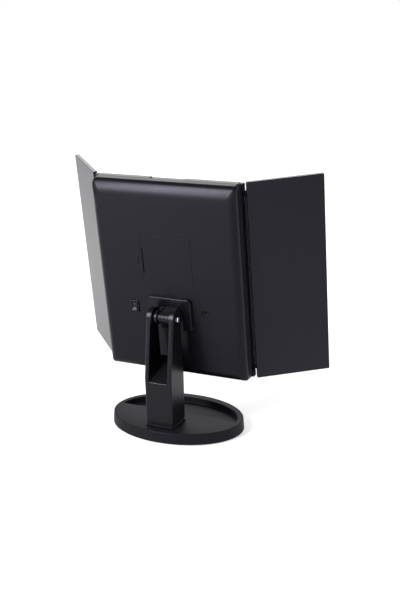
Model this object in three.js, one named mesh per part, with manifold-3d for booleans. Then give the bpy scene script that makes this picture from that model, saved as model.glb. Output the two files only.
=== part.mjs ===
// Tabletop trifold makeup mirror with light strips, on a fork column and an oval tray base.
// Millimetres. X runs across the mirror, -Y is the glass side, +Y the back, +Z up.
// The origin is on the table, under the centre of the oval base.
import * as THREE from 'three';
import { mergeVertices } from 'three/addons/utils/BufferGeometryUtils.js';
import Module from 'manifold-3d';

const wasm = await Module();
wasm.setup();

// Clearances shared by all pieces
const fit = 0.3;
const runningFit = 0.4;
const overshoot = 2;
const embed = 0.4;
const smallestCorner = 0.6;
const weldDistance = 1e-4;
const screwPoint = 1;
const full = 2 * Math.PI;
const deg = Math.PI / 180;

// Oval base
const baseHalfWidth = 85;
const baseHalfDepth = 62;
const baseTop = 15;
const baseSkirtLift = 1.2;
const baseWall = 2.4;
const baseDeck = 2.6;
const baseDraft = 0.8;
const baseEdgeRadius = 1.2;
const trayDepth = 7.4;
const trayFloor = 2;
const traySideRim = 7.5;
const trayFrontRim = 11.5;
const trayBackEdge = -1.5;
const trayWall = 1.8;
const padThickness = 1.5;
const padInset = 5;
const padEdge = 0.4;
const bottomPlateThickness = 1.8;
const weightWidth = 88;
const weightDepth = 40;
const weightThickness = 5.5;
const weightCornerRadius = 6;
const weightCentreY = 28;
const frontScrewFromSide = 35;
const frontScrewFromEdge = 40;
const backScrewFromSide = 25;
const backScrewFromEdge = 36;
const baseScrewRadius = 1.1;
const baseScrewHeadRadius = 2.4;
const baseScrewHeadHeight = 1;
const baseBossRadius = 3.4;
const baseSegments = 54;

// Fork column
const columnWidth = 35.4;
const columnFront = 15.7;
const columnBack = 49.2;
const columnShoulder = 76.5;
const columnShoulderBack = 51.2;
const columnFrontKnee = 79;
const columnEdgeRadius = 2.4;
const armFront = 20.6;
const armFrontDrop = 17.5;
const knuckleRadius = 12;
const knuckleUndercut = 42 * deg;
const slotWidth = 24.4;
const slotFloorBack = 71.9;
const slotFloorFront = 97.4;
const footLip = 1.1;
const footLipHeight = 2.6;
const footLipSlope = 0.8;
const columnScrewSpread = 18;
const columnScrewRadius = 1.8;
const columnScrewHeadRadius = 3.3;
const columnScrewHeadHeight = 1.5;
const columnScrewLength = 12;

// Tilt hinge
const tiltAxisY = 29.3;
const tiltAxisZ = 147.5;
const headTilt = 7.2 * deg;
const pinRadius = 2.5;
const pinHeadRadius = 3.3;
const pinRim = 0.8;
const pinDome = 1.1;
const pinEndInset = 0.8;
const counterboreRadius = 4.4;
const counterboreDepth = 1.7;
const nutRadius = 4.6;
const nutThickness = 3;
const nutEdge = 0.4;
const ribbedBarrelRadius = 6.8;
const ribbedBarrelStart = -10.9;
const ribbedBarrelEnd = 3;
const barrelRibCount = 8;
const barrelRibDepth = 0.5;
const collarRadius = 8.3;
const collarStart = 4.6;
const collarEnd = 9.7;
const grooveRadius = 5.8;
const washerRadius = 7;

// Bracket plate on the back of the casing
const bracketPlateWidth = 60;
const bracketPlateHeight = 40.6;
const bracketPlateCentre = -1.5;
const bracketPlateThickness = 3.5;
const bracketPlateCorner = 4.5;
const bracketEdge = 0.8;
const neckRootHeight = 16;
const neckTipHeight = 10;
const neckTipReach = 3;
const neckWebRootHeight = 12;
const neckWebTipHeight = 7;
const bracketScrewSpread = 44;
const bracketScrewRise = 27;
const bracketScrewRadius = 1.2;
const bracketScrewHeadRadius = 2.5;
const bracketScrewHeadHeight = 1.8;
const bracketScrewBite = 2.5;

// Casing: n is measured along the outward normal of the back, w up along the casing
const casingWidth = 186.6;
const casingHeight = 242.8;
const casingBottom = -83.3;
const casingBack = -18;
const casingDepth = 25;
const casingCorner = 3;
const casingWall = 2.2;
const frameDepth = 8;
const frameEdge = 0.7;
const shoulderInset = 14;
const shoulderHeight = 8;
const shoulderSteps = 6;
const sideDraft = 0.5;
const lipThickness = 1.2;
const lipLength = 1.9;
const notchWidth = 42;
const notchDepth = 1.1;
const notchSlope = 0.8;

// Glass, light strips and what lies behind them
const bezel = 4;
const glassThickness = 3;
const glassRecess = 0.3;
const glassCorner = 0.8;
const glassEdge = 0.4;
const ledgeWidth = 5;
const ledgeThickness = 2;
const diffuserWidth = 10;
const diffuserCorner = 1.4;
const carrierInset = 4.2;
const carrierThickness = 1.5;
const ledBoardWidth = 9;
const ledBoardLength = 190;
const ledBoardThickness = 0.8;
const ledBoardInset = 2.8;
const ledCount = 10;
const ledWidth = 2.8;
const ledLength = 3.5;
const ledHeight = 0.9;
const ledFromOuterEdge = 2.4;
const touchRadius = 9;
const touchThickness = 1.2;
const touchRise = 24;

// Battery compartment
const doorCentreU = 0.5;
const doorCentreW = 65;
const doorWidth = 66;
const doorHeight = 59.5;
const doorThickness = 2;
const doorCorner = 1.2;
const doorEdge = 0.25;
const latchSlitFromEdge = 2.6;
const latchSlitWidth = 1.3;
const latchSlitLength = 31.5;
const latchSlitRise = -2.5;
const tabWidth = 8;
const tabReach = 2;
const tabRoot = 1.6;
const tabThickness = 1.3;
const tabSpread = 36;
const scoopRadius = 8;
const scoopReach = 6.2;
const scoopDepth = 1.7;
const scoopFloor = 1.3;
const scoopRise = -3;
const cellCount = 4;
const cellRadius = 7.1;
const cellPitch = 15.2;
const cellBody = 49.2;
const cellNubRadius = 2.7;
const cellNubHeight = 1.2;
const springSpace = 4;
const contactThickness = 0.5;
const contactWidth = 9;
const springWire = 0.4;
const springTurns = 3;
const springDivisions = 6;
const springBaseRadius = 4.4;
const springTipRadius = 2.6;
const trayWallThin = 1.3;
const trayFlange = 3.6;
const trayFlangeThickness = 1.2;
const traySideDrop = 2.6;
const cellDividerHeight = 3.6;
const cellDividerWidth = 0.7;
const cellDividerReach = 22;
const cellRim = 0.6;

// Rocker switch
const switchU = 47.6;
const switchW = 2.2;
const switchBezelWidth = 10.8;
const switchBezelHeight = 15.2;
const switchBezelThickness = 1.3;
const switchBezelEdge = 0.5;
const switchBodyWidth = 8.8;
const switchBodyHeight = 13.3;
const switchBodyDepth = 14.5;
const switchHoleCorner = 0.6;
const switchBezelCorner = 1;
const rockerWidth = 6.4;
const rockerHalfLength = 5.1;
const rockerRadius = 5;
const rockerPivot = -18.4;
const rockerRise = 3.1;
const rockerDip = 1.7;
const rockerRestAngle = 10 * deg;
const rockerEndRoom = 0.9;
const rockerPinRadius = 0.9;
const terminalWidth = 4.8;
const terminalLength = 1.1;
const terminalThickness = 0.8;
const terminalRise = 3.6;

// Power socket and boards
const socketU = -46;
const socketW = 2.9;
const socketWindowWidth = 9.4;
const socketWindowHeight = 5.4;
const socketWindowCorner = 1.2;
const socketWidth = 7.6;
const socketHeight = 2.8;
const socketLength = 5.6;
const socketShell = 0.35;
const socketCorner = 0.8;
const socketRear = 1;
const tongueWidth = 4;
const tongueInset = 0.8;
const tongueThickness = 0.6;
const socketFromBack = 1.2;
const socketBoardSize = 13;
const socketBoardThickness = 1.2;
const railThickness = 1.4;
const railDepth = 8;
const railHeight = 5;
const boardThickness = 1.2;
const controlBoardWidth = 46;
const controlBoardHeight = 26;
const controlBoardInset = 17.5;
const controlBoardCorner = 1.5;
const chipSize = 7;
const chipHeight = 1.5;
const coilRadius = 4;
const coilHeight = 4;
const capacitorRadius = 3;
const capacitorHeight = 6;
const wireSocketWidth = 8;
const wireSocketDepth = 5;
const wireSocketHeight = 4.5;
const wireSocketInset = 2;

// Wings
const wingHingeOut = 1.9;
const wingHingeFront = 0.5;
const wingBarrelRadius = 1.6;
const wingStart = 0.8;
const wingWidth = 88.6;
const wingHeight = 245.7;
const wingBottom = -85.2;
const wingThickness = 5.1;
const wingCorner = 1.4;
const wingEdge = 0.5;
const wingBezel = 3.2;
const wingGlassThickness = 2;
const wingGlassRecess = 0.3;
const wingGlueGap = 0.3;
const magnifierBar = 3;
const magnifierDish = 0.5;
const hingeZoneInset = 9.5;
const hingeLugLength = 6;
const hingeLugThickness = 1.4;
const hingeRailReach = 1.1;
const hingeRailThickness = 1;
const hingeWebThickness = 0.9;
const hingePinRadius = 0.8;
const hingePinLength = 13;
const rightWingAngle = 44.8 * deg;
const leftWingAngle = 33.3 * deg;

// Places that follow from the sizes above
const baseScrewSpots = [
  [frontScrewFromSide, frontScrewFromEdge - baseHalfDepth],
  [backScrewFromSide, baseHalfDepth - backScrewFromEdge],
].flatMap(([inset, y]) => [[inset - baseHalfWidth, y], [baseHalfWidth - inset, y]]);
const casingFront = casingBack - casingDepth;
const casingCentreW = casingBottom + casingHeight / 2;
const casingTop = casingBottom + casingHeight;
const frameBack = casingFront + frameDepth;
const coverFront = frameBack + fit;
const glassFront = casingFront + glassRecess;
const glassBack = glassFront + glassThickness;
const ledgeFront = glassBack + fit;
const ledgeBack = ledgeFront + ledgeThickness;
const carrierFront = ledgeBack + fit;
const carrierBack = carrierFront + carrierThickness;
const coverInside = casingBack - casingWall;
const cellCentreN = casingBack - doorThickness - 2 * fit - cellRadius;
const batteryFloor = cellCentreN - cellRadius - fit;
const cellLength = cellBody + cellNubHeight;
const batteryBay = cellLength + springSpace + 2 * contactThickness + 4 * fit;
const batteryWidth = cellCount * cellPitch + fit;
const wingHingeU = casingWidth / 2 + wingHingeOut;
const wingHingeN = casingFront - wingHingeFront;
const bottomPlateLow = padThickness + fit;
const bottomPlateTop = bottomPlateLow + bottomPlateThickness;
const columnMid = (columnFront + columnBack) / 2;
const armFrontTop = tiltAxisZ - armFrontDrop;

// Finishes
const finish = (color, roughness, metalness = 0) =>
  new THREE.MeshStandardMaterial({ color, roughness, metalness });
const satinBlack = finish('#2b292e', 0.5);
const columnBlack = finish('#1d1b20', 0.38);
const wingBlack = finish('#29272c', 0.48);
const innerBlack = finish('#17161a', 0.6);
const rubberBlack = finish('#131314', 0.85);
const whitePlastic = finish('#e6e6e2', 0.5);
const frosted = finish('#f4f3ee', 0.35);
const mirrorSilver = finish('#d5dade', 0.04, 1);
const steel = finish('#a7a8ab', 0.35, 1);
const chrome = finish('#d9dadd', 0.12, 1);
const nickel = finish('#c4bfb2', 0.3, 1);
const boardGreen = finish('#23553a', 0.55);
const cellJacket = finish('#8d9094', 0.4, 0.2);

// Solid operations

function toSolid(geometry) {
  const bare = geometry.clone();
  for (const name of Object.keys(bare.attributes)) {
    if (name !== 'position') bare.deleteAttribute(name);
  }
  const merged = mergeVertices(bare, weldDistance);
  const corners = merged.index.array;
  const faces = [];
  for (let i = 0; i < corners.length; i += 3) {
    const [a, b, c] = [corners[i], corners[i + 1], corners[i + 2]];
    if (a !== b && b !== c && c !== a) faces.push(a, b, c);
  }
  return new wasm.Manifold(new wasm.Mesh({
    numProp: 3,
    vertProperties: new Float32Array(merged.attributes.position.array),
    triVerts: new Uint32Array(faces),
  }));
}

function toGeometry(solid) {
  const mesh = solid.getMesh();
  const geometry = new THREE.BufferGeometry();
  geometry.setAttribute('position', new THREE.BufferAttribute(mesh.vertProperties, 3));
  geometry.setIndex(new THREE.BufferAttribute(mesh.triVerts, 1));
  geometry.computeVertexNormals();
  return geometry;
}

function join(...geometries) {
  return toGeometry(geometries.map(toSolid).reduce((a, b) => a.add(b)));
}

function cut(geometry, ...tools) {
  return toGeometry(tools.map(toSolid).reduce((a, b) => a.subtract(b), toSolid(geometry)));
}

function common(a, b) {
  return toGeometry(toSolid(a).intersect(toSolid(b)));
}

// Basic shapes in part axes

function block([x0, x1], [y0, y1], [z0, z1]) {
  const box = new THREE.BoxGeometry(Math.abs(x1 - x0), Math.abs(y1 - y0), Math.abs(z1 - z0));
  return box.translate((x0 + x1) / 2, (y0 + y1) / 2, (z0 + z1) / 2);
}

function lathe(profile, axis, segments = 24) {
  const points = profile.map(([radius, along]) => new THREE.Vector2(radius, along));
  const geometry = new THREE.LatheGeometry(points, segments);
  if (axis === 'x') geometry.rotateZ(-Math.PI / 2);
  if (axis === 'z') geometry.rotateX(Math.PI / 2);
  return geometry;
}

function rod(axis, radius, from, to, segments = 16) {
  return lathe([[0, from], [radius, from], [radius, to], [0, to]], axis, segments);
}

function roundedRect(width, height, radius, centreX = 0, centreY = 0) {
  const x = width / 2 - radius;
  const y = height / 2 - radius;
  const shape = new THREE.Shape();
  shape.absarc(centreX + x, centreY + y, radius, 0, full / 4);
  shape.absarc(centreX - x, centreY + y, radius, full / 4, full / 2);
  shape.absarc(centreX - x, centreY - y, radius, full / 2, full * 3 / 4);
  shape.absarc(centreX + x, centreY - y, radius, full * 3 / 4, full);
  return shape;
}

function polygon(points) {
  return new THREE.Shape(points.map(([x, y]) => new THREE.Vector2(x, y)));
}

// Upright extrusion of a plan outline, from z0 to z1
function slab(shape, z0, z1, curveSegments = 6) {
  const geometry = new THREE.ExtrudeGeometry(shape, { depth: z1 - z0, bevelEnabled: false, curveSegments });
  return geometry.translate(0, 0, z0);
}

// Extrusion through the casing's depth of an outline drawn in u and w, from n0 to n1
function panel(shape, n0, n1, curveSegments = 3) {
  const geometry = new THREE.ExtrudeGeometry(shape, { depth: n1 - n0, bevelEnabled: false, curveSegments });
  return geometry.rotateX(Math.PI / 2).translate(0, n1, 0);
}

// Extrusion across the width of a side outline drawn in y and z, from x0 to x1
function sideProfile(shape, x0, x1, edge = 0, curveSegments = 12) {
  const geometry = new THREE.ExtrudeGeometry(shape, {
    depth: x1 - x0 - 2 * edge,
    bevelEnabled: edge > 0,
    bevelThickness: edge,
    bevelSize: edge,
    bevelOffset: -edge,
    bevelSegments: 3,
    curveSegments,
  });
  return geometry.translate(0, 0, x0 + edge).rotateY(Math.PI / 2).rotateX(Math.PI / 2);
}

// Closed body through a stack of outlines with equal point counts; place(point, level) sets each in space
function loft(outlines, place) {
  const count = outlines[0].points.length;
  const vertices = outlines.flatMap(({ points, level }) => points.map((p) => place(p, level)));
  const caps = [0, outlines.length - 1].map((i) => {
    const { points, level } = outlines[i];
    const centre = points.reduce((sum, p) => sum.add(p), new THREE.Vector2()).divideScalar(count);
    return place(centre, level);
  });
  vertices.push(...caps);
  const faces = [];
  for (let i = 0; i < outlines.length - 1; i += 1) {
    for (let j = 0; j < count; j += 1) {
      const k = (j + 1) % count;
      faces.push(i * count + j, i * count + k, (i + 1) * count + j);
      faces.push(i * count + k, (i + 1) * count + k, (i + 1) * count + j);
    }
  }
  const lowCentre = outlines.length * count;
  const topStart = (outlines.length - 1) * count;
  for (let j = 0; j < count; j += 1) {
    const k = (j + 1) % count;
    faces.push(lowCentre, k, j);
    faces.push(lowCentre + 1, topStart + j, topStart + k);
  }
  const geometry = new THREE.BufferGeometry();
  const numbers = vertices.flatMap((v) => v.toArray());
  geometry.setAttribute('position', new THREE.Float32BufferAttribute(numbers, 3));
  geometry.setIndex(faces);
  return geometry;
}

const uprightPlace = (p, z) => new THREE.Vector3(p.x, p.y, z);
const casingPlace = (p, n) => new THREE.Vector3(p.x, -n, p.y);

// Rounded slab in casing axes whose edge follows a profile of [inset, n] from back (high n) to front
function casingLoft(width, height, corner, centreU, centreW, profile, cornerDivisions = 2) {
  const outlines = profile.map(([inset, n]) => {
    const radius = Math.max(corner - inset, smallestCorner);
    const shape = roundedRect(width - 2 * inset, height - 2 * inset, radius, centreU, centreW);
    return { points: shape.getPoints(cornerDivisions), level: -n };
  });
  return loft(outlines, casingPlace);
}

function ellipseOutline(inset, level, segments) {
  const curve = new THREE.EllipseCurve(0, 0, baseHalfWidth - inset, baseHalfDepth - inset, 0, full);
  return { points: curve.getPoints(segments).slice(0, -1), level };
}

function ovalLoft(profile, segments = 40) {
  return loft(profile.map(([inset, z]) => ellipseOutline(inset, z, segments)), uprightPlace);
}

// Oval base

function trayShape(grow) {
  const a = baseHalfWidth - traySideRim + grow;
  const b = baseHalfDepth - trayFrontRim + grow;
  const edge = trayBackEdge + grow;
  const start = Math.asin(edge / b);
  const shape = new THREE.Shape();
  shape.absellipse(0, 0, a, b, Math.PI - start, full + start, false);
  return shape;
}

function baseShell() {
  const arc = [0, 1, 2].map((i) => {
    const angle = i * full / 8;
    return [
      baseDraft + baseEdgeRadius * (1 - Math.cos(angle)),
      baseTop - baseEdgeRadius * (1 - Math.sin(angle)),
    ];
  });
  const outer = ovalLoft([[0, baseSkirtLift], ...arc], baseSegments);
  const cavity = ovalLoft([[baseWall, 0], [baseWall + baseDraft, baseTop - baseDeck]],
    baseSegments);
  const floorZ = baseTop - trayDepth;
  const bowl = slab(trayShape(trayWall), floorZ - trayFloor, baseTop - baseDeck / 2, 20);
  const bosses = baseScrewSpots.map(([x, y]) =>
    rod('z', baseBossRadius, bottomPlateTop + fit, baseTop - baseDeck / 2, 12).translate(x, y, 0));
  const recess = slab(trayShape(0), floorZ, baseTop + overshoot, 20);
  const holes = baseScrewSpots.map(([x, y]) =>
    rod('z', baseScrewRadius + fit, 0, floorZ - trayFloor / 2, 10).translate(x, y, 0));
  const columnHoles = [-1, 1].map((side) => rod('z', columnScrewRadius + fit, 0, baseTop + overshoot)
    .translate(side * columnScrewSpread / 2, columnMid, 0));
  return cut(join(cut(outer, cavity), bowl, ...bosses), recess, ...holes, ...columnHoles);
}

function baseBottomPlate() {
  const inset = baseWall + baseDraft + fit;
  const plate = ovalLoft([[inset, bottomPlateLow], [inset, bottomPlateTop]]);
  const holes = baseScrewSpots.flatMap(([x, y]) => [
    rod('z', baseScrewRadius + fit, 0, bottomPlateTop + overshoot, 10).translate(x, y, 0),
    rod('z', baseScrewHeadRadius + fit, 0, bottomPlateLow + baseScrewHeadHeight + fit, 12).translate(x, y, 0),
  ]);
  return cut(plate, ...holes);
}

function basePad() {
  return ovalLoft([[padInset + padEdge, 0], [padInset, padEdge], [padInset, padThickness]]);
}

function baseScrew() {
  const top = baseTop - trayDepth - trayFloor / 2 - fit;
  const headTop = bottomPlateLow + baseScrewHeadHeight;
  return lathe([
    [0, bottomPlateLow], [baseScrewHeadRadius, bottomPlateLow], [baseScrewHeadRadius, headTop],
    [baseScrewRadius, headTop], [baseScrewRadius, top - screwPoint], [0, top],
  ], 'z', 10);
}

function baseWeight() {
  const low = bottomPlateTop + fit;
  const plan = roundedRect(weightWidth, weightDepth, weightCornerRadius, 0, weightCentreY);
  return slab(plan, low, low + weightThickness, 4);
}

function columnScrew() {
  const seat = baseTop - baseDeck - fit;
  return lathe([
    [0, seat - columnScrewHeadHeight], [columnScrewHeadRadius, seat - columnScrewHeadHeight],
    [columnScrewHeadRadius, seat], [columnScrewRadius, seat],
    [columnScrewRadius, seat + columnScrewLength - screwPoint], [0, seat + columnScrewLength],
  ], 'z', 12);
}

// Fork column

function columnSide() {
  const below = baseTop - columnEdgeRadius;
  const lean = Math.atan2(columnShoulderBack - tiltAxisY - knuckleRadius, tiltAxisZ - columnShoulder);
  const shape = new THREE.Shape();
  shape.moveTo(columnFront, below);
  shape.lineTo(columnBack, below);
  shape.lineTo(columnShoulderBack, columnShoulder);
  shape.absarc(tiltAxisY, tiltAxisZ, knuckleRadius, lean, Math.PI + knuckleUndercut, false);
  shape.quadraticCurveTo(armFront, tiltAxisZ - knuckleRadius, armFront, armFrontTop);
  shape.lineTo(columnFront, columnFrontKnee);
  shape.closePath();
  return shape;
}

function columnFoot(foot) {
  const depth = columnBack - columnFront;
  const profile = [[footLip, 0], [footLip, footLipHeight - footLipSlope],
    [footLip - footLipSlope, footLipHeight]];
  const outline = (grow) =>
    roundedRect(columnWidth + 2 * grow, depth + 2 * grow, columnEdgeRadius + grow, 0, columnMid);
  return loft(profile.map(([grow, rise]) => ({
    points: outline(grow).getPoints(2), level: foot + rise,
  })), uprightPlace);
}

function standColumn() {
  const foot = baseTop + fit;
  const half = columnWidth / 2;
  const body = sideProfile(columnSide(), -half, half, columnEdgeRadius, 10);
  const belowFoot = block([-columnWidth, columnWidth], [0, 2 * columnBack], [0, foot]);
  const slope = (slotFloorFront - slotFloorBack) / (columnShoulderBack - columnFront);
  const slotTop = tiltAxisZ + 2 * knuckleRadius;
  const slot = sideProfile(polygon([
    [columnFront - overshoot, slotFloorFront + slope * overshoot],
    [columnShoulderBack + overshoot, slotFloorBack - slope * overshoot],
    [columnShoulderBack + overshoot, slotTop], [columnFront - overshoot, slotTop],
  ]), -slotWidth / 2, slotWidth / 2);
  const aboutAxis = (...size) => rod('x', ...size).translate(0, tiltAxisY, tiltAxisZ);
  const pinHole = aboutAxis(pinRadius + fit, -half - overshoot, half + overshoot);
  const headRecess = aboutAxis(counterboreRadius, -half - overshoot, -half + counterboreDepth, 20);
  const nutRecess = aboutAxis(nutRadius + fit, half - nutThickness, half + overshoot, 20);
  const screwHoles = [-1, 1].map((side) =>
    rod('z', columnScrewRadius + fit, 0, foot + columnScrewLength)
      .translate(side * columnScrewSpread / 2, columnMid, 0));
  const solid = join(cut(body, belowFoot), columnFoot(foot));
  return cut(solid, slot, pinHole, headRecess, nutRecess, ...screwHoles);
}

// Tilt pin, nut and washers, drawn about the tilt axis

function tiltPin() {
  const headSeat = -columnWidth / 2 + counterboreDepth - fit;
  const dome = [0, 1, 2, 3].map((i) => {
    const angle = i * full / 12;
    return [pinHeadRadius * Math.sin(angle), headSeat - pinRim - pinDome * Math.cos(angle)];
  });
  const end = columnWidth / 2 - pinEndInset;
  return lathe([
    ...dome, [pinHeadRadius, headSeat], [pinRadius, headSeat],
    [pinRadius, columnWidth / 2 - nutThickness - fit], [pinRadius - pinEndInset, end], [0, end],
  ], 'x', 16);
}

function tiltNut() {
  const seat = columnWidth / 2 - nutThickness + fit;
  const end = columnWidth / 2 - nutEdge;
  const outline = lathe([
    [0, seat], [nutRadius - nutEdge, seat], [nutRadius, seat + nutEdge],
    [nutRadius, end - nutEdge], [nutRadius - nutEdge, end], [0, end],
  ], 'x', 6);
  return cut(outline, rod('x', pinRadius + fit, seat - overshoot, columnWidth / 2 - pinEndInset + fit, 12));
}

function ringAlongX(outer, inner, from, to, segments = 16) {
  const points = [[inner, from], [outer, from], [outer, to], [inner, to], [inner, from]];
  return lathe(points, 'x', segments);
}

// Tilt bracket: plate, neck, ribbed barrel and collar on one moulding

function barrelProfile() {
  const points = [[0, ribbedBarrelStart]];
  const pitch = (ribbedBarrelEnd - ribbedBarrelStart) / barrelRibCount;
  for (let i = 0; i < barrelRibCount; i += 1) {
    const start = ribbedBarrelStart + i * pitch;
    points.push([ribbedBarrelRadius - barrelRibDepth, start]);
    points.push([ribbedBarrelRadius, start + pitch / 2]);
  }
  points.push([ribbedBarrelRadius - barrelRibDepth, ribbedBarrelEnd]);
  points.push([grooveRadius, ribbedBarrelEnd], [grooveRadius, collarStart]);
  points.push([collarRadius - bracketEdge, collarStart], [collarRadius, collarStart + bracketEdge]);
  points.push([collarRadius, collarEnd - bracketEdge], [collarRadius - bracketEdge, collarEnd]);
  points.push([0, collarEnd]);
  return points;
}

function bracketScrewPlaces() {
  return [-1, 1].flatMap((across) => [-1, 1].map((up) =>
    [across * bracketScrewSpread / 2, bracketPlateCentre + up * bracketScrewRise / 2]));
}

function tiltBracket() {
  const low = casingBack + fit;
  const high = casingBack + bracketPlateThickness + fit;
  const softEdge = bracketEdge / 3;
  const plate = casingLoft(bracketPlateWidth, bracketPlateHeight, bracketPlateCorner, 0, bracketPlateCentre,
    [[bracketEdge, high], [softEdge, high - softEdge], [0, high - bracketEdge], [0, low]]);
  const root = high - bracketEdge;
  const cheek = (rootHeight, tipHeight, tip) => polygon([
    [root, -rootHeight / 2], [-tip, -tipHeight / 2], [0, -tipHeight / 2],
    [0, tipHeight / 2], [-tip, tipHeight / 2], [root, rootHeight / 2],
  ]);
  const necks = [[ribbedBarrelStart, ribbedBarrelEnd], [collarStart, collarEnd]]
    .map(([from, to]) => sideProfile(cheek(neckRootHeight, neckTipHeight, neckTipReach), from, to));
  const web = sideProfile(cheek(neckWebRootHeight, neckWebTipHeight, neckTipReach),
    ribbedBarrelEnd - overshoot / 2, collarStart + overshoot / 2);
  const barrel = lathe(barrelProfile(), 'x', 20);
  const bore = rod('x', pinRadius + fit, ribbedBarrelStart - overshoot, collarEnd + overshoot);
  const screwHoles = bracketScrewPlaces().map(([u, w]) =>
    rod('y', bracketScrewRadius + fit, low - overshoot, low + bracketScrewBite + fit, 10)
      .translate(u, 0, w));
  return cut(join(plate, ...necks, web, barrel), bore, ...screwHoles);
}

function bracketScrew() {
  const seat = coverInside - fit;
  const tip = casingBack + fit + bracketScrewBite;
  return lathe([
    [0, seat - bracketScrewHeadHeight], [bracketScrewHeadRadius, seat - bracketScrewHeadHeight],
    [bracketScrewHeadRadius, seat], [bracketScrewRadius, seat],
    [bracketScrewRadius, tip - screwPoint], [0, tip],
  ], 'y', 10);
}

// Rear cover: pillow shell with door opening, finger scoop, switch and socket openings

function pillowProfile(wall) {
  const steps = Array.from({ length: shoulderSteps + 1 }, (_, i) => i * full / 4 / shoulderSteps);
  const reach = shoulderInset - wall / 2;
  const rise = shoulderHeight - wall / 2;
  return steps.map((angle) => [
    wall + sideDraft + reach * (1 - Math.cos(angle)),
    casingBack - wall - rise + rise * Math.sin(angle),
  ]).reverse();
}

function casingOutline(inset) {
  return roundedRect(casingWidth - 2 * inset, casingHeight - 2 * inset,
    Math.max(casingCorner - inset, smallestCorner), 0, casingCentreW);
}

function frameRing(outerInset, innerInset, n0, n1) {
  return cut(panel(casingOutline(outerInset), n0, n1),
    panel(casingOutline(innerInset), n0 - overshoot, n1 + overshoot));
}

function rearCover() {
  const pillow = (wall, front) => casingLoft(casingWidth, casingHeight, casingCorner, 0, casingCentreW,
    [...pillowProfile(wall), [wall, front]]);
  const shell = cut(pillow(0, coverFront), pillow(casingWall, coverFront - overshoot));
  const lipOuter = casingWall + fit;
  const lipInner = lipOuter + lipThickness;
  const lipStep = frameRing(casingWall - embed, lipInner, coverFront, coverFront + lipThickness);
  const lip = frameRing(lipOuter, lipInner, coverFront - lipLength, coverFront + embed);
  const scoopU = doorCentreU + doorWidth / 2;
  const scoopW = doorCentreW + scoopRise;
  const dish = (reach, radius, depth) => new THREE.SphereGeometry(1, 16, 8)
    .scale(reach, depth, radius).translate(scoopU, casingBack, scoopW);
  const scoopSpan = scoopRadius + scoopFloor;
  const scoopBoss = common(dish(scoopReach + scoopFloor, scoopSpan, 2 * scoopDepth + scoopFloor),
    block([scoopU + 2 * fit, scoopU + scoopSpan], [coverInside - scoopFloor, coverInside + embed],
      [scoopW - scoopSpan, scoopW + scoopSpan]));
  const rails = [-1, 1].map((side) => {
    const inner = socketU + side * (socketBoardSize / 2 + fit);
    return block([inner, inner + side * railThickness], [coverInside + embed, coverInside - railDepth],
      [socketW - railHeight, socketW]);
  });
  const doorHole = panel(roundedRect(doorWidth + 2 * fit, doorHeight + 2 * fit, doorCorner + fit,
    doorCentreU, doorCentreW), coverInside - 2 * overshoot, casingBack + overshoot);
  const switchHole = panel(roundedRect(switchBodyWidth + 2 * fit, switchBodyHeight + 2 * fit,
    switchHoleCorner, switchU, switchW), coverInside - overshoot, casingBack + overshoot);
  const socketHole = panel(roundedRect(socketWindowWidth, socketWindowHeight, socketWindowCorner,
    socketU, socketW), coverInside - overshoot, casingBack + overshoot);
  const screwHoles = bracketScrewPlaces().map(([u, w]) =>
    rod('y', bracketScrewRadius + fit, coverInside - overshoot, casingBack + overshoot, 10)
      .translate(u, 0, w));
  return cut(join(shell, lipStep, lip, scoopBoss, ...rails),
    dish(scoopReach, scoopRadius, scoopDepth), doorHole, switchHole, socketHole, ...screwHoles);
}

// Battery door, hinged on tabs at its -X edge

function batteryDoor() {
  const inner = casingBack - doorThickness;
  const plate = casingLoft(doorWidth, doorHeight, doorCorner, doorCentreU, doorCentreW,
    [[doorEdge, casingBack], [0, casingBack - doorEdge], [0, inner]]);
  const edge = doorCentreU - doorWidth / 2;
  const tabs = [-1, 1].map((side) => {
    const w = doorCentreW + side * tabSpread / 2;
    const span = [w - tabWidth / 2, w + tabWidth / 2];
    const low = coverInside - fit - tabThickness;
    return join(block([edge + doorEdge, edge + tabRoot], [low, inner + embed], span),
      block([edge - tabReach, edge + tabRoot], [low, coverInside - fit], span));
  });
  const slitU = doorCentreU + doorWidth / 2 - latchSlitFromEdge;
  const slit = panel(roundedRect(latchSlitWidth, latchSlitLength, latchSlitWidth / 2, slitU,
    doorCentreW + latchSlitRise), inner - overshoot, casingBack + overshoot, 1);
  return cut(join(plate, ...tabs), slit);
}

// Battery tray with saddle dividers, cells and contacts

function batteryTray() {
  const halfBay = batteryBay / 2;
  const halfWidth = batteryWidth / 2;
  const top = coverInside - fit;
  const outer = block([-halfWidth - trayWallThin, halfWidth + trayWallThin],
    [batteryFloor - trayWallThin, top], [-halfBay - trayWallThin, halfBay + trayWallThin]);
  const flange = block([-halfWidth - trayWallThin, halfWidth + trayWallThin],
    [top - trayFlangeThickness, top], [-halfBay - trayFlange, halfBay + trayFlange]);
  const bay = block([-halfWidth, halfWidth], [batteryFloor, top + overshoot], [-halfBay, halfBay]);
  const flangeEnd = halfBay + trayFlange + overshoot;
  const sideRelief = [-1, 1].map((side) => block([side * halfWidth, side * (halfWidth + overshoot)],
    [top - traySideDrop, top + overshoot], [-flangeEnd, flangeEnd]));
  const dividers = Array.from({ length: cellCount - 1 }, (_, i) => {
    const u = (i + 1 - cellCount / 2) * cellPitch;
    return block([u - cellDividerWidth / 2, u + cellDividerWidth / 2],
      [batteryFloor - embed, batteryFloor + cellDividerHeight], [-cellDividerReach, cellDividerReach]);
  });
  return join(cut(outer, bay, ...sideRelief), cut(flange, bay, ...sideRelief), ...dividers);
}

const cellPlaceU = (i) => (i - (cellCount - 1) / 2) * cellPitch;
const cellFaces = (i) => (i % 2 === 0 ? 1 : -1);

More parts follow.
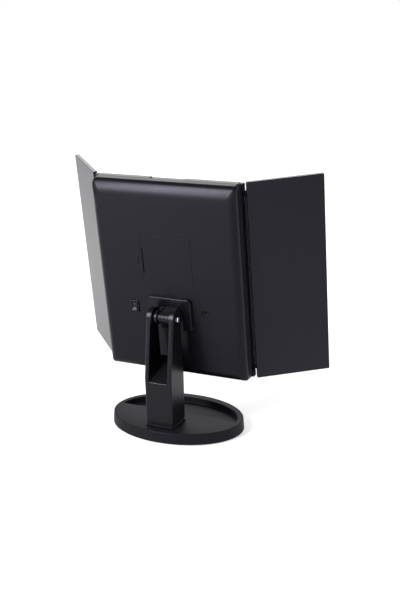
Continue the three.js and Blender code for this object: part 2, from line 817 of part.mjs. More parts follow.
function batteryCell() {
  const low = -cellLength / 2;
  const shoulder = low + cellBody;
  return lathe([
    [0, low], [cellRadius - cellRim, low], [cellRadius, low + cellRim],
    [cellRadius, shoulder - cellRim], [cellRadius - cellRim, shoulder], [cellNubRadius, shoulder],
    [cellNubRadius, shoulder + cellNubHeight], [0, shoulder + cellNubHeight],
  ], 'z', 14);
}

class ConeHelix extends THREE.Curve {
  constructor(height) {
    super();
    this.height = height;
  }

  getPoint(t, target = new THREE.Vector3()) {
    const angle = t * springTurns * full;
    const radius = springBaseRadius + (springTipRadius - springBaseRadius) * t;
    return target.set(radius * Math.cos(angle), radius * Math.sin(angle), this.height * t);
  }
}

function contactSpring() {
  const height = springSpace - 1.5 * springWire;
  const section = new THREE.Shape();
  section.absarc(0, 0, springWire, 0, full);
  return new THREE.ExtrudeGeometry(section, {
    steps: springTurns * springDivisions, curveSegments: 3, extrudePath: new ConeHelix(height),
  });
}

// A contact strip at one end of the bay; spans lists the cell indices it serves
function contactLink(end, cells) {
  const wall = end * (batteryBay / 2 - fit);
  const us = cells.map(cellPlaceU);
  const plate = block([Math.min(...us) - contactWidth / 2, Math.max(...us) + contactWidth / 2],
    [cellCentreN - contactWidth / 2, cellCentreN + contactWidth / 2], [wall, wall - end * contactThickness]);
  const springs = cells.filter((i) => cellFaces(i) !== end).map((i) => {
    const spring = contactSpring();
    if (end > 0) spring.rotateX(Math.PI);
    return spring.translate(cellPlaceU(i), cellCentreN, wall - end * (contactThickness + springWire / 2));
  });
  return join(plate, ...springs);
}

// Front frame with hinge lugs and finger notch

function hingeLug(side, end) {
  const zoneEnd = casingCentreW + end * (casingHeight / 2 - hingeZoneInset);
  const span = [zoneEnd, zoneEnd - end * hingeLugLength].sort((a, b) => a - b);
  const [low, high] = span;
  const boss = rod('z', wingBarrelRadius, low, high, 14).translate(side * wingHingeU, wingHingeN, 0);
  const root = block([side * (casingWidth / 2 - overshoot), side * wingHingeU],
    [casingFront, casingFront + hingeLugThickness], span);
  return join(boss, root);
}

// Rib that stands behind the wing's barrel and closes the sight line past it
function hingeRail(side) {
  const n = wingHingeN + wingBarrelRadius + runningFit;
  return block([side * (casingWidth / 2 - overshoot), side * (casingWidth / 2 + hingeRailReach)],
    [n, n + hingeRailThickness], [casingCentreW - barrelHalf, casingCentreW + barrelHalf]);
}

function frontFrame() {
  const softEdge = frameEdge / 3;
  const body = casingLoft(casingWidth, casingHeight, casingCorner, 0, casingCentreW,
    [[0, frameBack], [0, casingFront + frameEdge], [softEdge, casingFront + softEdge],
      [frameEdge, casingFront]], 3);
  const pocket = panel(casingOutline(bezel), casingFront - overshoot, ledgeFront);
  const window = panel(casingOutline(bezel + ledgeWidth), casingFront - overshoot, frameBack + overshoot);
  const backRecess = panel(casingOutline(casingWall), ledgeBack, frameBack + overshoot);
  const half = notchWidth / 2;
  const notch = panel(polygon([
    [-half, casingTop - notchDepth], [half, casingTop - notchDepth],
    [half + 2 * notchSlope, casingTop + notchDepth], [-half - 2 * notchSlope, casingTop + notchDepth],
  ]), casingFront - overshoot, frameBack + overshoot);
  const lugs = [-1, 1].flatMap((side) => [hingeRail(side), hingeLug(side, -1), hingeLug(side, 1)]);
  const pinHoles = [-1, 1].map((side) =>
    rod('z', hingePinRadius + fit, casingBottom, casingTop, 10).translate(side * wingHingeU, wingHingeN, 0));
  return cut(join(cut(body, pocket, window, backRecess, notch), ...lugs), ...pinHoles);
}

// Centre glass, light strips and the carrier behind them

const pocketHalfWidth = casingWidth / 2 - bezel;
const pocketHeight = casingHeight - 2 * bezel;
const diffuserInner = pocketHalfWidth - fit - diffuserWidth;
const glassHeight = pocketHeight - 2 * fit;

function glassPanel(width, height, corner, centreU, thickness) {
  return casingLoft(width, height, corner, centreU, casingCentreW,
    [[0, glassFront + thickness], [0, glassFront + glassEdge], [glassEdge, glassFront]], 1);
}

function lightDiffuser(side) {
  const centre = side * (diffuserInner + diffuserWidth / 2);
  return glassPanel(diffuserWidth, glassHeight, diffuserCorner, centre, glassThickness);
}

function ledCarrier() {
  const plate = panel(casingOutline(carrierInset), carrierFront, carrierBack);
  const clear = trayWallThin + 2 * fit;
  const batteryHole = block([doorCentreU - batteryWidth / 2 - clear, doorCentreU + batteryWidth / 2 + clear],
    [carrierFront - overshoot, carrierBack + overshoot],
    [doorCentreW - batteryBay / 2 - clear, doorCentreW + batteryBay / 2 + clear]);
  return cut(plate, batteryHole);
}

function ledBoard(side) {
  const outer = pocketHalfWidth - ledgeWidth - 2 * fit;
  const back = carrierFront - fit;
  const front = back - ledBoardThickness;
  const halfLength = ledBoardLength / 2;
  const board = block([side * outer, side * (outer - ledBoardWidth)], [front, back],
    [casingCentreW - halfLength, casingCentreW + halfLength]);
  const pitch = (ledBoardLength - 2 * ledBoardInset - ledLength) / (ledCount - 1);
  const lamps = Array.from({ length: ledCount }, (_, i) => {
    const w = casingCentreW - halfLength + ledBoardInset + ledLength / 2 + i * pitch;
    const u = side * (outer - ledFromOuterEdge);
    return block([u - ledWidth / 2, u + ledWidth / 2], [front - ledHeight, front + embed],
      [w - ledLength / 2, w + ledLength / 2]);
  });
  return join(board, ...lamps);
}

function touchSensor() {
  return rod('y', touchRadius, glassBack + fit, glassBack + fit + touchThickness, 20)
    .translate(0, 0, casingBottom + touchRise);
}

function controlBoard() {
  const low = carrierBack + fit;
  const top = low + boardThickness;
  const seat = top - embed;
  const u = controlBoardInset + controlBoardWidth / 2 - casingWidth / 2;
  const w = controlBoardInset + controlBoardHeight / 2 + casingBottom;
  const board = panel(roundedRect(controlBoardWidth, controlBoardHeight, controlBoardCorner, u, w), low, top);
  const chip = block([u - chipSize / 2, u + chipSize / 2], [seat, top + chipHeight],
    [w - chipSize / 2, w + chipSize / 2]);
  const aside = controlBoardWidth / 4 + chipSize / 4;
  const up = controlBoardHeight / 6;
  const upright = (radius, height) => rod('y', radius, seat, top + height, 12);
  const coil = upright(coilRadius, coilHeight).translate(u + aside, 0, w + up);
  const capacitor = upright(capacitorRadius, capacitorHeight).translate(u - aside, 0, w + up);
  const wireSockets = [-1, 1].map((side) => {
    const middle = u + side * controlBoardWidth / 4;
    const low = w - controlBoardHeight / 2 + wireSocketInset;
    return block([middle - wireSocketWidth / 2, middle + wireSocketWidth / 2],
      [seat, top + wireSocketHeight], [low, low + wireSocketDepth]);
  });
  return join(board, chip, coil, capacitor, ...wireSockets);
}

// Power socket on its own small board, held between rails of the rear cover

function powerSocket() {
  const mouth = casingBack - socketFromBack;
  const rear = mouth - socketLength;
  const low = -socketHeight / 2;
  const boardTop = low + socketShell / 2;
  const board = block([-socketBoardSize / 2, socketBoardSize / 2],
    [coverInside - fit - socketBoardSize, coverInside - fit], [boardTop - socketBoardThickness, boardTop]);
  const shell = panel(roundedRect(socketWidth, socketHeight, socketCorner), rear, mouth, 2);
  const mouthCut = panel(roundedRect(socketWidth - 2 * socketShell, socketHeight - 2 * socketShell,
    socketCorner - socketShell), rear + socketRear, mouth + overshoot, 2);
  const tongue = block([-tongueWidth / 2, tongueWidth / 2], [rear + embed, mouth - tongueInset],
    [0, tongueThickness]);
  return join(board, cut(shell, mouthCut), tongue);
}

// Rocker switch

function switchBody() {
  const seat = casingBack + fit;
  const bezelPlate = casingLoft(switchBezelWidth, switchBezelHeight, switchBezelCorner, 0, 0,
    [[switchBezelEdge, seat + switchBezelThickness], [0, seat + switchBezelThickness - switchBezelEdge],
      [0, seat]], 1);
  const rear = seat - switchBodyDepth;
  const body = block([-switchBodyWidth / 2, switchBodyWidth / 2], [rear, seat + switchBezelThickness / 2],
    [-switchBodyHeight / 2, switchBodyHeight / 2]);
  const pocketHalf = rockerHalfLength + rockerEndRoom;
  const pocket = block([-rockerWidth / 2 - fit, rockerWidth / 2 + fit],
    [rockerPivot - rockerRadius - fit, seat + overshoot], [-pocketHalf, pocketHalf]);
  const pivotHole = rod('x', rockerPinRadius + fit, -switchBodyWidth, switchBodyWidth, 10)
    .translate(0, rockerPivot, 0);
  const terminals = [-1, 1].map((side) => block([-terminalWidth / 2, terminalWidth / 2],
    [rear - terminalLength, rear + terminalLength],
    [side * terminalRise - terminalThickness / 2, side * terminalRise + terminalThickness / 2]));
  return cut(join(bezelPlate, body, ...terminals), pocket, pivotHole);
}

// Dished key on a round underside, drawn about its own pivot
function switchRocker() {
  const shape = new THREE.Shape();
  shape.absarc(0, 0, rockerRadius, full * 3 / 4, full / 4, true);
  shape.lineTo(rockerRise, rockerHalfLength);
  shape.lineTo(rockerDip, 0);
  shape.lineTo(rockerRise, -rockerHalfLength);
  shape.closePath();
  const key = sideProfile(shape, -rockerWidth / 2, rockerWidth / 2, 0, 6);
  const pinReach = switchBodyWidth / 2 - fit;
  return join(key, rod('x', rockerPinRadius, -pinReach, pinReach, 10));
}

// Wings, drawn about the hinge axis; side is +1 for the wing at +X and -1 for the other

const wingCentreW = wingBottom + wingHeight / 2;
const wingPocketWidth = wingWidth - 2 * wingBezel;
const wingPocketHeight = wingHeight - 2 * wingBezel;
const wingPocketDepth = wingGlassRecess + wingGlassThickness + wingGlueGap;
const magnifierHeight = (wingPocketHeight - magnifierBar) / 2;
const magnifierCentre = (magnifierHeight + magnifierBar) / 2;
const wingMiddle = wingStart + wingWidth / 2;
const barrelHalf = casingHeight / 2 - hingeZoneInset - hingeLugLength - runningFit;

function wingShell(side, pockets) {
  const body = casingLoft(wingWidth, wingHeight, wingCorner, side * wingMiddle, wingCentreW,
    [[wingEdge, wingThickness], [0, wingThickness - wingEdge], [0, wingEdge], [wingEdge, 0]]);
  const glassPockets = pockets.map(({ height, rise }) =>
    panel(roundedRect(wingPocketWidth, height, wingCorner, side * wingMiddle, wingCentreW + rise),
      -overshoot, wingPocketDepth));
  const low = casingCentreW - barrelHalf;
  const high = casingCentreW + barrelHalf;
  const lugRoom = hingeLugLength + 2 * runningFit;
  const reliefs = [[low - lugRoom, low], [high, high + lugRoom]]
    .map(([from, to]) => rod('z', wingBarrelRadius + runningFit, from, to, 8));
  const barrel = rod('z', wingBarrelRadius, low, high, 14);
  const web = block([0, side * (wingStart + embed)], [0, hingeWebThickness], [low, high]);
  const boreDepth = hingePinLength - hingeLugLength;
  const bores = [[low - overshoot, low + boreDepth], [high - boreDepth, high + overshoot]]
    .map(([from, to]) => rod('z', hingePinRadius + fit, from, to, 10));
  return cut(join(cut(body, ...glassPockets, ...reliefs), barrel, web), ...bores);
}

function wingMirror(side) {
  const back = wingGlassRecess + wingGlassThickness;
  return casingLoft(wingPocketWidth - 2 * fit, wingPocketHeight - 2 * fit, wingCorner, side * wingMiddle,
    wingCentreW, [[0, back], [0, wingGlassRecess + wingEdge], [wingEdge, wingGlassRecess]], 1);
}

// Magnifying glass, its front hollowed to a shallow sphere
function magnifier(side, rise) {
  const width = wingPocketWidth - 2 * fit;
  const height = magnifierHeight - 2 * fit;
  const glass = new THREE.BoxGeometry(width, wingGlassThickness, height, 6, 1, 8);
  const spots = glass.attributes.position;
  const reach = (width * width + height * height) / 4;
  for (let i = 0; i < spots.count; i += 1) {
    const [x, y, z] = [spots.getX(i), spots.getY(i), spots.getZ(i)];
    if (y < 0) spots.setY(i, y + magnifierDish * (1 - (x * x + z * z) / reach));
  }
  const outline = panel(roundedRect(width, height, wingCorner), -wingThickness, wingThickness);
  return common(glass, outline)
    .translate(side * wingMiddle, wingGlassRecess + wingGlassThickness / 2, wingCentreW + rise);
}

function hingePin(end) {
  const outer = casingCentreW + end * (casingHeight / 2 - hingeZoneInset - fit);
  const span = [outer, outer - end * (hingePinLength - fit)].sort((a, b) => a - b);
  return rod('z', hingePinRadius, ...span, 10);
}

// Assembly

const mirror = new THREE.Group();

function place(parent, name, geometry, material, position = [0, 0, 0]) {
  const mesh = new THREE.Mesh(toGeometry(toSolid(geometry)), material);
  mesh.name = name;
  mesh.position.set(...position);
  parent.add(mesh);
  return mesh;
}

function buildStand(parent) {
  place(parent, 'base_shell', baseShell(), satinBlack);
  place(parent, 'base_bottom_plate', baseBottomPlate(), innerBlack);
  place(parent, 'base_pad', basePad(), rubberBlack);
  place(parent, 'base_weight', baseWeight(), steel);
  baseScrewSpots.forEach(([x, y], i) => place(parent, `base_screw_${i + 1}`, baseScrew(), steel, [x, y, 0]));
  [-1, 1].forEach((side, i) => place(parent, `column_screw_${i + 1}`, columnScrew(), steel,
    [side * columnScrewSpread / 2, columnMid, 0]));
  place(parent, 'stand_column', standColumn(), columnBlack);
}

function buildTiltHinge(parent) {
  const axis = [0, tiltAxisY, tiltAxisZ];
  const inner = pinRadius + fit;
  const halfSlot = slotWidth / 2 - fit;
  place(parent, 'tilt_pin', tiltPin(), chrome, axis);
  place(parent, 'tilt_nut', tiltNut(), steel, axis);
  place(parent, 'tilt_washer_left', ringAlongX(washerRadius, inner, -halfSlot, ribbedBarrelStart - fit),
    columnBlack, axis);
  place(parent, 'tilt_washer_right', ringAlongX(washerRadius, inner, collarEnd + fit, halfSlot),
    columnBlack, axis);
}

function buildCasing(head) {
  place(head, 'tilt_bracket', tiltBracket(), columnBlack);
  bracketScrewPlaces().forEach(([u, w], i) =>
    place(head, `bracket_screw_${i + 1}`, bracketScrew(), steel, [u, 0, w]));
  place(head, 'rear_cover', rearCover(), satinBlack);
  place(head, 'front_frame', frontFrame(), satinBlack);
  const glassWidth = 2 * (diffuserInner - fit);
  place(head, 'centre_mirror', glassPanel(glassWidth, glassHeight, glassCorner, 0, glassThickness),
    mirrorSilver);
  place(head, 'led_carrier', ledCarrier(), whitePlastic);
  for (const [name, side] of [['left', -1], ['right', 1]]) {
    place(head, `light_diffuser_${name}`, lightDiffuser(side), frosted);
    place(head, `led_board_${name}`, ledBoard(side), boardGreen);
    place(head, `wing_${name}_pin_top`, hingePin(1), steel, [side * wingHingeU, wingHingeN, 0]);
    place(head, `wing_${name}_pin_bottom`, hingePin(-1), steel, [side * wingHingeU, wingHingeN, 0]);
  }
  place(head, 'touch_sensor', touchSensor(), boardGreen);
  place(head, 'control_board', controlBoard(), boardGreen);
  place(head, 'power_socket', powerSocket(), nickel, [socketU, 0, socketW]);
  place(head, 'switch_body', switchBody(), innerBlack, [switchU, 0, switchW]);
  const rocker = place(head, 'switch_rocker', switchRocker(), columnBlack, [switchU, rockerPivot, switchW]);
  rocker.rotation.x = rockerRestAngle;
}

function buildBatteryBay(head) {
  const centre = [doorCentreU, 0, doorCentreW];
  place(head, 'battery_tray', batteryTray(), innerBlack, centre);
  place(head, 'battery_door', batteryDoor(), satinBlack);
  const links = { contact_top_plus: [1, [0]], contact_top_link: [1, [1, 2]], contact_top_minus: [1, [3]],
    contact_bottom_link_1: [-1, [0, 1]], contact_bottom_link_2: [-1, [2, 3]] };
  for (const [name, [end, cells]] of Object.entries(links)) {
    place(head, name, contactLink(end, cells), nickel, centre);
  }
  for (let i = 0; i < cellCount; i += 1) {
    const way = cellFaces(i);
    const offset = batteryBay / 2 - 2 * fit - contactThickness - cellLength / 2;
    const cell = place(head, `battery_cell_${i + 1}`, batteryCell(), cellJacket,
      [doorCentreU + cellPlaceU(i), cellCentreN, doorCentreW + way * offset]);
    if (way < 0) cell.rotation.x = Math.PI;
  }
}

function buildWings(head) {
  const wing = (side, angle) => {
    const group = new THREE.Group();
    group.position.set(side * wingHingeU, wingHingeN, 0);
    group.rotation.z = -side * angle;
    head.add(group);
    return group;
  };
  const right = wing(1, rightWingAngle);
  place(right, 'wing_right_shell', wingShell(1, [{ height: wingPocketHeight, rise: 0 }]), wingBlack);
  place(right, 'wing_right_mirror', wingMirror(1), mirrorSilver);
  const left = wing(-1, leftWingAngle);
  const halves = [['upper', 1], ['lower', -1]];
  const pockets = halves.map(([, way]) => ({ height: magnifierHeight, rise: way * magnifierCentre }));
  place(left, 'wing_left_shell', wingShell(-1, pockets), wingBlack);
  for (const [name, way] of halves) {
    place(left, `wing_left_magnifier_${name}`, magnifier(-1, way * magnifierCentre), mirrorSilver);
  }
}

buildStand(mirror);
buildTiltHinge(mirror);
const head = new THREE.Group();
head.position.set(0, tiltAxisY, tiltAxisZ);
head.rotation.x = -headTilt;
mirror.add(head);
buildCasing(head);
buildBatteryBay(head);
buildWings(head);

export default mirror;
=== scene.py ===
"""Looks of a tabletop trifold makeup mirror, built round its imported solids.

Sizes are in millimetres until a mesh is made. Blender's own units are metres.
The casing and all that tilts with it is drawn in its own axes: x runs across,
y out of the back, z up along the casing, and the tilt axis is the origin.
"""

import logging
import math
from dataclasses import dataclass, field
from enum import Enum
from typing import Callable, Optional, Sequence, Union

import bmesh
import bpy
from mathutils import Matrix, Vector

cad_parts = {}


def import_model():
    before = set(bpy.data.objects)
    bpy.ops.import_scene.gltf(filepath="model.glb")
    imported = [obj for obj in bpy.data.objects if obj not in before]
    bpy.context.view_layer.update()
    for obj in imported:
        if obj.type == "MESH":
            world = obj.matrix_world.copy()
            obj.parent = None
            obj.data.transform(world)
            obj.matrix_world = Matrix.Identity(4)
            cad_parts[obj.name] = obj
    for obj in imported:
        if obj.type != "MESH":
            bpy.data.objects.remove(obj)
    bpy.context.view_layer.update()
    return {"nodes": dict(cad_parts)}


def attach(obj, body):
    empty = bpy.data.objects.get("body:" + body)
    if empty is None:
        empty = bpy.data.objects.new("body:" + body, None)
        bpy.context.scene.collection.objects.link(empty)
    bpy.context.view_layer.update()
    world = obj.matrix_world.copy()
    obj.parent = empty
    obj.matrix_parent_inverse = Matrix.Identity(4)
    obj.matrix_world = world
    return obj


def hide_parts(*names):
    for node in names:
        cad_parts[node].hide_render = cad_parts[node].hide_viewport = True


LOG = logging.getLogger("mirror")

MM = 0.001
QUARTER = math.pi / 2
FULL = 2 * math.pi

# Clearance between neighbours, and how far a cutting tool overshoots
GAP = 0.3
OVER = 2.0

# Points nearer than this become one, on a new skin and after a cut
WELD = 1e-4
CUT_WELD = 1e-3

# Places of the axes in which pieces are drawn
HEAD_TILT = math.radians(7.2)
TILT_AXIS = Vector((0.0, 29.3, 147.5))
STAND = Matrix.Identity(4)
TILT = Matrix.Translation(TILT_AXIS)
HEAD = TILT @ Matrix.Rotation(-HEAD_TILT, 4, "X")

Point = tuple[float, float]
Triple = tuple[float, float, float]
Outline = list[Point]
Level = tuple[Outline, float]
Ring = list[Vector]
Value = Union[float, tuple, bpy.types.NodeSocket]


# Outlines and solids


class Axis(Enum):
    """The direction in which an outline is pushed or a profile is turned."""

    X = 0
    Y = 1
    Z = 2

    def lift(self, a: float, b: float, along: float) -> Vector:
        """Sets a point of an outline in space.

        Args:
            a: The point's first value.
            b: Its second value.
            along: Its height along this axis.

        Returns:
            The point.
        """
        values = [a, b]
        values.insert(self.value, along)
        return Vector(values)


class Cut(Enum):
    """How one solid changes another."""

    AWAY = "DIFFERENCE"
    ADD = "UNION"
    SHARE = "INTERSECT"


def arc(centre: Point, radius: float, start: float, end: float, steps: int) -> Outline:
    """Points of a circular arc, both ends included.

    Args:
        centre: Middle of the circle.
        radius: Radius of the circle.
        start: First angle in radians.
        end: Last angle in radians.
        steps: Number of chords.

    Returns:
        The points in order.
    """
    turns = [start + (end - start) * i / steps for i in range(steps + 1)]
    return [(centre[0] + radius * math.cos(t), centre[1] + radius * math.sin(t)) for t in turns]


def cornered(half: Point, insets: Triple, radii: Point, centre: Point, steps: int) -> Outline:
    """A rectangle with rounded corners and insets of its own for sides, top and bottom.

    Args:
        half: Half its width and half its height before the insets.
        insets: How far it is drawn in at the sides, the top and the bottom.
        radii: Radius of the top corners and of the bottom corners.
        centre: Middle of the rectangle before the insets.
        steps: Chords in each corner.

    Returns:
        The outline, counterclockwise from the top corner on the +x side.
    """
    points: Outline = []
    for i, (sx, sy) in enumerate(((1, 1), (-1, 1), (-1, -1), (1, -1))):
        radius = radii[i // 2]
        corner = (centre[0] + sx * (half[0] - insets[0] - radius),
                  centre[1] + sy * (half[1] - insets[1 + i // 2] - radius))
        points += arc(corner, radius, i * QUARTER, (i + 1) * QUARTER, steps)
    return points


def round_over(radius: float, steps: int, face: float = 0.0, way: int = 1) -> Outline:
    """Inset and height of a quarter-round edge.

    Args:
        radius: Radius of the edge.
        steps: Number of chords.
        face: Height of the face, where the inset is the radius.
        way: 1 where the side lies above the face, -1 where it lies below.

    Returns:
        The points from the face to the side.
    """
    turns = (QUARTER * (1 - i / steps) for i in range(steps + 1))
    return [(radius * (1 - math.cos(t)), face + way * radius * (1 - math.sin(t))) for t in turns]


class Solid:
    """A closed body under construction, in millimetres of the axes that carry it."""

    def __init__(self, mesh: bmesh.types.BMesh) -> None:
        """Takes over a mesh."""
        self.mesh = mesh

    @classmethod
    def grid(cls, rows: Sequence[Ring], wrap: bool = False, ring: bool = True) -> "Solid":
        """Skins rows of points of equal length.

        Args:
            rows: The rows, one after the other.
            wrap: Joins the last row to the first, where flat faces would close both otherwise.
            ring: Joins the last point of each row to its first.

        Returns:
            The solid, with its faces turned outward.
        """
        mesh = bmesh.new()
        made = [[mesh.verts.new(p) for p in row] for row in rows]
        count = len(made[0])
        for low, high in list(zip(made, made[1:])) + ([(made[-1], made[0])] if wrap else []):
            for i in range(count if ring else count - 1):
                j = (i + 1) % count
                mesh.faces.new((low[i], low[j], high[j], high[i]))
        if not wrap:
            mesh.faces.new(made[0][::-1])
            mesh.faces.new(made[-1])
        bmesh.ops.remove_doubles(mesh, verts=mesh.verts, dist=WELD)
        bmesh.ops.recalc_face_normals(mesh, faces=mesh.faces)
        return cls(mesh)

    @classmethod
    def loft(cls, levels: Sequence[Level], axis: Axis) -> "Solid":
        """Skins outlines that lie at heights along an axis."""
        return cls.grid([[axis.lift(a, b, t) for a, b in outline] for outline, t in levels])

    @classmethod
    def prism(cls, outline: Outline, axis: Axis, low: float, high: float) -> "Solid":
        """Pushes an outline along an axis from low to high."""
        return cls.loft([(outline, low), (outline, high)], axis)

    @classmethod
    def block(cls, x: Point, y: Point, z: Point) -> "Solid":
        """A box between two values on each axis."""
        outline = [(x[0], y[0]), (x[1], y[0]), (x[1], y[1]), (x[0], y[1])]
        return cls.prism(outline, Axis.Z, *z)

    @classmethod
    def turned(cls, profile: Outline, axis: Axis, steps: int = 48, closed: bool = False) -> "Solid":
        """Turns a profile of radius and height about an axis.

        Args:
            profile: Points of radius and height. An open one starts and ends on the axis.
            axis: The axis.
            steps: Number of facets round the axis.
            closed: True for a ring, whose profile never meets the axis.

        Returns:
            The turned solid.
        """
        rows = []
        for i in range(steps):
            c, s = math.cos(FULL * i / steps), math.sin(FULL * i / steps)
            rows.append([axis.lift(r * c, r * s, h) for r, h in profile])
        return cls.grid(rows, wrap=True, ring=closed)

    def moved(self, x: float = 0.0, y: float = 0.0, z: float = 0.0) -> "Solid":
        """Shifts the solid."""
        return self.sent(Matrix.Translation((x, y, z)))

    def sent(self, matrix: Matrix) -> "Solid":
        """Sends the solid through a matrix."""
        self.mesh.transform(matrix)
        return self

    def soften(self, width: float, steps: int = 2, angle: float = 40.0,
               where: Callable[[Vector], bool] = lambda middle: True) -> "Solid":
        """Rounds edges that turn by more than an angle, and marks the new faces as edge.

        Args:
            width: How far the rounding reaches.
            steps: Faces across it.
            angle: Least turn in degrees.
            where: Test of an edge's middle.

        Returns:
            The same solid.
        """
        layers = self.mesh.faces.layers.float
        layer = layers.get("edge") or layers.new("edge")
        chosen = [e for e in self.mesh.edges
                  if len(e.link_faces) == 2 and e.calc_face_angle(0.0) > math.radians(angle)
                  and where((e.verts[0].co + e.verts[1].co) / 2)]
        made = bmesh.ops.bevel(self.mesh, geom=chosen, offset=width, offset_type="OFFSET",
                               segments=steps, profile=0.5, affect="EDGES", clamp_overlap=True)
        for face in made["faces"]:
            face[layer] = 1.0
        return self

    def _changed(self, how: Cut, tools: Sequence["Solid"]) -> "Solid":
        """Applies other solids to this one and uses them up.

        Args:
            how: What they do to it.
            tools: The other solids.

        Returns:
            The same solid.
        """
        bodies = []
        for solid in (self, *tools):
            mesh = bpy.data.meshes.new("scratch")
            solid.mesh.to_mesh(mesh)
            solid.mesh.free()
            bodies.append(bpy.data.objects.new("scratch", mesh))
            bpy.context.scene.collection.objects.link(bodies[-1])
        for tool in bodies[1:]:
            step = bodies[0].modifiers.new("step", "BOOLEAN")
            step.operation, step.solver, step.object = how.value, "EXACT", tool
        graph = bpy.context.evaluated_depsgraph_get()
        self.mesh = bmesh.new()
        self.mesh.from_mesh(bodies[0].evaluated_get(graph).to_mesh())
        for body in bodies:
            bpy.data.meshes.remove(body.data)
        bmesh.ops.remove_doubles(self.mesh, verts=self.mesh.verts, dist=CUT_WELD)
        bmesh.ops.dissolve_degenerate(self.mesh, edges=self.mesh.edges, dist=CUT_WELD)
        return self

    def minus(self, *tools: "Solid") -> "Solid":
        """Takes other solids away from this one."""
        return self._changed(Cut.AWAY, tools)

    def plus(self, *tools: "Solid") -> "Solid":
        """Joins other solids to this one."""
        return self._changed(Cut.ADD, tools)

    def shared(self, tool: "Solid") -> "Solid":
        """Keeps what this solid shares with another."""
        return self._changed(Cut.SHARE, [tool])

    def to_object(self, name: str, axes: Matrix, crease: float) -> bpy.types.Object:
        """Makes the object, in metres and in the shared frame.

        Args:
            name: Name of the piece.
            axes: Where the solid's own axes stand at rest, in millimetres.
            crease: Edges that turn by more than this, in degrees, stay sharp.

        Returns:
            The linked object, with its place in its mesh.
        """
        self.sent(Matrix.Scale(MM, 4) @ axes)
        for face in self.mesh.faces:
            face.smooth = True
        for edge in self.mesh.edges:
            edge.smooth = edge.calc_face_angle(0.0) < math.radians(crease)
        mesh = bpy.data.meshes.new(name)
        self.mesh.to_mesh(mesh)
        self.mesh.free()
        piece = bpy.data.objects.new(name, mesh)
        bpy.context.scene.collection.objects.link(piece)
        piece.modifiers.new("weighted", "WEIGHTED_NORMAL").keep_sharp = True
        graph = bpy.context.evaluated_depsgraph_get()
        piece.data = bpy.data.meshes.new_from_object(piece.evaluated_get(graph))
        piece.modifiers.clear()
        bpy.data.meshes.remove(mesh)
        piece.data.name = name
        return piece


def slab(size: Point, radius: float, profile: Outline, centre: Point = (0.0, 0.0), steps: int = 5,
         axis: Axis = Axis.Y, follow: bool = True) -> Solid:
    """A block with rounded corners whose edge follows a profile.

    Args:
        size: Full width and height.
        radius: Radius of the corners where the inset is 0.
        profile: Insets with their heights along the axis.
        centre: Middle of the outline.
        steps: Chords in each corner.
        axis: The axis along which the heights run.
        follow: Whether the corners shrink and grow with the inset.

    Returns:
        The solid.
    """
    half = (size[0] / 2, size[1] / 2)
    least = min(radius, 0.2)
    levels = []
    for i, height in profile:
        corner = max(radius - i, least) if follow else radius
        levels.append((cornered(half, (i, i, i), (corner, corner), centre, steps), height))
    return Solid.loft(levels, axis)


def cylinder(axis: Axis, radius: float, low: float, high: float, steps: int = 48,
             edge: float = 0.0) -> Solid:
    """A round bar along an axis.

    Args:
        axis: The axis.
        radius: Radius of the bar.
        low: Its first end.
        high: Its other end.
        steps: Number of facets.
        edge: Size of the chamfer at both ends, if any.

    Returns:
        The bar.
    """
    ends = [(radius, low), (radius, high)]
    if edge:
        ends = [(radius - edge, low), (radius, low + edge), (radius, high - edge), (radius - edge, high)]
    return Solid.turned([(0, low), *ends, (0, high)], axis, steps)


def screw(head: Point, shank: float, length: float) -> Solid:
    """A screw along +z whose head rests on z = 0, with a cross recess below.

    Args:
        head: Radius and height of the head.
        shank: Radius of the shank.
        length: Length of the shank.

    Returns:
        The screw.
    """
    radius, height = head
    dome = [(radius * math.sin(t), -height * math.cos(t)) for t in (QUARTER * i / 6 for i in range(7))]
    root, arm = shank * 0.82, 0.28
    turns = max(int((length - 1) / 0.8), 2)
    pitch = (length - 1.2) / turns
    thread = []
    for i in range(turns):
        thread += [(root, 0.2 + i * pitch), (shank, 0.2 + (i + 0.5) * pitch)]
    body = Solid.turned([*dome, (root, 0.0), *thread, (shank * 0.6, length - 1), (0, length)], Axis.Z, 24)
    reach = radius * 0.52
    bars = [Solid.block((-a, a), (-b, b), (-height - OVER, -height * 0.35))
            for a, b in ((reach, arm), (arm, reach))]
    return body.minus(*bars)


# Shader nodes


